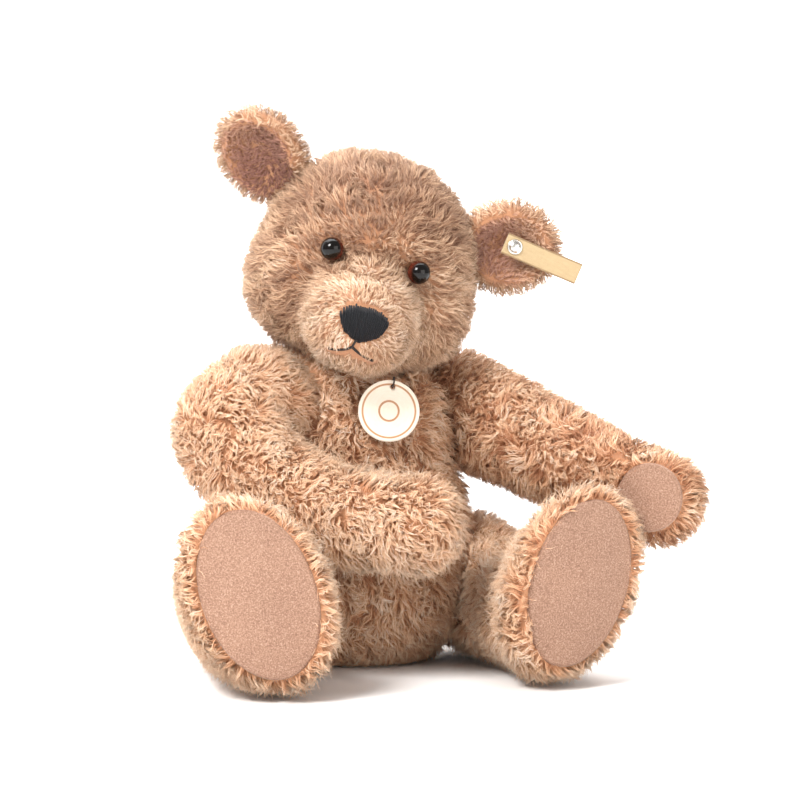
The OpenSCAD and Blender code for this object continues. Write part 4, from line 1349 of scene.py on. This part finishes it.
for k in range(ny):
    F.append((k, k + 1, nv + k + 1, nv + k))
    a = nx * (ny + 1) + k
    F.append((a, nv + a, nv + a + 1, a + 1))
P = np.array(top + bot) @ MB.T + TB
ob = new_object("ear_ribbon", P, F, M_RIBBON, "head")
fix_normals(ob)
add_uv(ob, uvt + uvt)
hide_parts("ear_ribbon_tag")

# ------------------------------------------------------------------ the card tag
TM = aim(TAG_N) @ rot_z(170)
seg = 128
pts, uv = [], []
hole_c, hole_r, RT = np.array([11.0, 0.0]), 1.2, 14.0
radial = [0.0, 0.25, 0.5, 0.75, 1.0]


def tag_ring(k, z, ro):
    out = []
    for i in range(seg):
        a = 2 * math.pi * i / seg
        inner = hole_c + hole_r * np.array([math.cos(a), math.sin(a)])
        outer = ro * np.array([math.cos(a), math.sin(a)])
        p = inner + (outer - inner) * k
        out.append([p[0], p[1], z])
    return out


rings_ = []
for k in np.linspace(0, 1, 28):
    rings_.append(tag_ring(k, 0.9 if k < 1 else 0.82, RT - (0 if k < 1 else 0.0)))
rings_.append(tag_ring(1.0, 0.08, RT))
for k in np.linspace(1, 0, 28):
    rings_.append(tag_ring(k, 0.0, RT - 0.02))
for r_ in rings_:
    for p in r_:
        b = 0.012 * ((p[0] * 0.8) ** 1 * 0) + 0.25 * (p[1] / 14) ** 2
        pts.append([p[0], p[1], p[2] + b])
        uv.append([0.5 + math.atan2(p[1], p[0]) / 6.2832, math.hypot(p[0], p[1]) / 14.4])
nr = len(rings_)
F = []
for j in range(nr):
    for i in range(seg):
        a, b = j * seg + i, j * seg + (i + 1) % seg
        c, d = ((j + 1) % nr) * seg + i, ((j + 1) % nr) * seg + (i + 1) % seg
        F.append((a, b, d, c))
P = np.array(pts) @ TM.T + TAG_C
ob = new_object("chest_tag_card", P, F, M_CARD, "chest_tag")
fix_normals(ob)
add_uv(ob, uv)
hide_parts("chest_tag")

# ------------------------------------------------------------------ carried-over hardware and stuffing
for name, ob in nodes.items():
    if ob.hide_render:
        continue
    if "stuffing" in name:
        mat = M_FILL
    elif "disc" in name or "insole" in name:
        mat = M_BOARD
    elif name == "back_closing_seam":
        mat = M_SEAM
    elif name == "chest_tag_thread":
        mat = M_TAGTHREAD
    else:
        mat = M_ZINC
    ob.data.materials.clear()
    ob.data.materials.append(mat)

# ------------------------------------------------------------------ stage, light and camera
def plane(name, size, loc, rot=(0, 0, 0)):
    me = bpy.data.meshes.new(name)
    s_ = size / 2
    me.from_pydata([(-s_, -s_, 0), (s_, -s_, 0), (s_, s_, 0), (-s_, s_, 0)], [], [(0, 1, 2, 3)])
    ob_ = bpy.data.objects.new(name, me)
    ob_.location, ob_.rotation_euler = loc, rot
    scene.collection.objects.link(ob_)
    return ob_


floor = plane("floor", 12, (0, 0, 0))
fm = Mat("pale_floor", rough=0.9)
fm.b.inputs["Specular IOR Level"].default_value = 0.1
fm.color(fm.ramp(fm.noise(3, 2), [(0.3, (0.935, 0.935, 0.935, 1)), (0.7, (0.955, 0.955, 0.955, 1))]))
floor.data.materials.append(fm.m)

world = bpy.data.worlds.new("studio")
scene.world = world
world.use_nodes = True
bg = world.node_tree.nodes["Background"]
bg.inputs[0].default_value = (1, 1, 1, 1)
bg.inputs[1].default_value = 0.5


def area(name, loc, target, size, power, color=(1, 1, 1)):
    d = bpy.data.lights.new(name, "AREA")
    d.shape, d.size, d.energy, d.color = "SQUARE", size, power, color
    o = bpy.data.objects.new(name, d)
    o.location = loc
    o.rotation_euler = (Vector(loc) - Vector(target)).to_track_quat("Z", "Y").to_euler()
    scene.collection.objects.link(o)
    return o


area("key", (-1.25, -1.1, 1.45), (0, -0.03, 0.12), 0.7, 54, (1.0, 0.99, 0.97))
area("fill", (0.7, -1.8, 0.35), (0, 0, 0.09), 1.4, 17, (1.0, 0.95, 0.9))
area("top", (0.1, 0.4, 1.7), (0, 0, 0.15), 1.2, 11)
area("floor_wash", (0, 1.1, 1.9), (0, 1.1, 0), 2.4, 75)
back = plane("backdrop", 8, (0, 2.2, 0), (math.radians(90), 0, 0))
bm_ = Mat("white_backdrop", rough=0.9)
bm_.color(bm_.ramp(bm_.noise(2, 2), [(0.3, (0.9, 0.9, 0.9, 1)), (0.7, (0.92, 0.92, 0.92, 1))]))
bm_.b.inputs["Emission Color"].default_value = (1, 1, 1, 1)
bm_.b.inputs["Emission Strength"].default_value = 1.0
back.data.materials.append(bm_.m)

az, el, D = math.radians(-20), math.radians(3.4), 1.5
d = Vector((math.sin(az) * math.cos(el), -math.cos(az) * math.cos(el), math.sin(el)))
r_ = Vector((math.cos(az), math.sin(az), 0))
up = (Vector((0, 0, 1)) - d * d.z).normalized()
tgt = r_ * 0.0207 + up * 0.1214
cam_d = bpy.data.cameras.new("camera")
cam = bpy.data.objects.new("camera", cam_d)
scene.collection.objects.link(cam)
scene.camera = cam
cam_d.sensor_width = 36
cam_d.lens = 36 * 1.5 / 0.376
cam_d.clip_end = 100
cam_d.dof.use_dof = False
cam.location = tgt + d * D
cam.rotation_euler = (-d).to_track_quat("-Z", "Y").to_euler()
scene.view_settings.view_transform = "Standard"
scene.view_settings.look = "None"
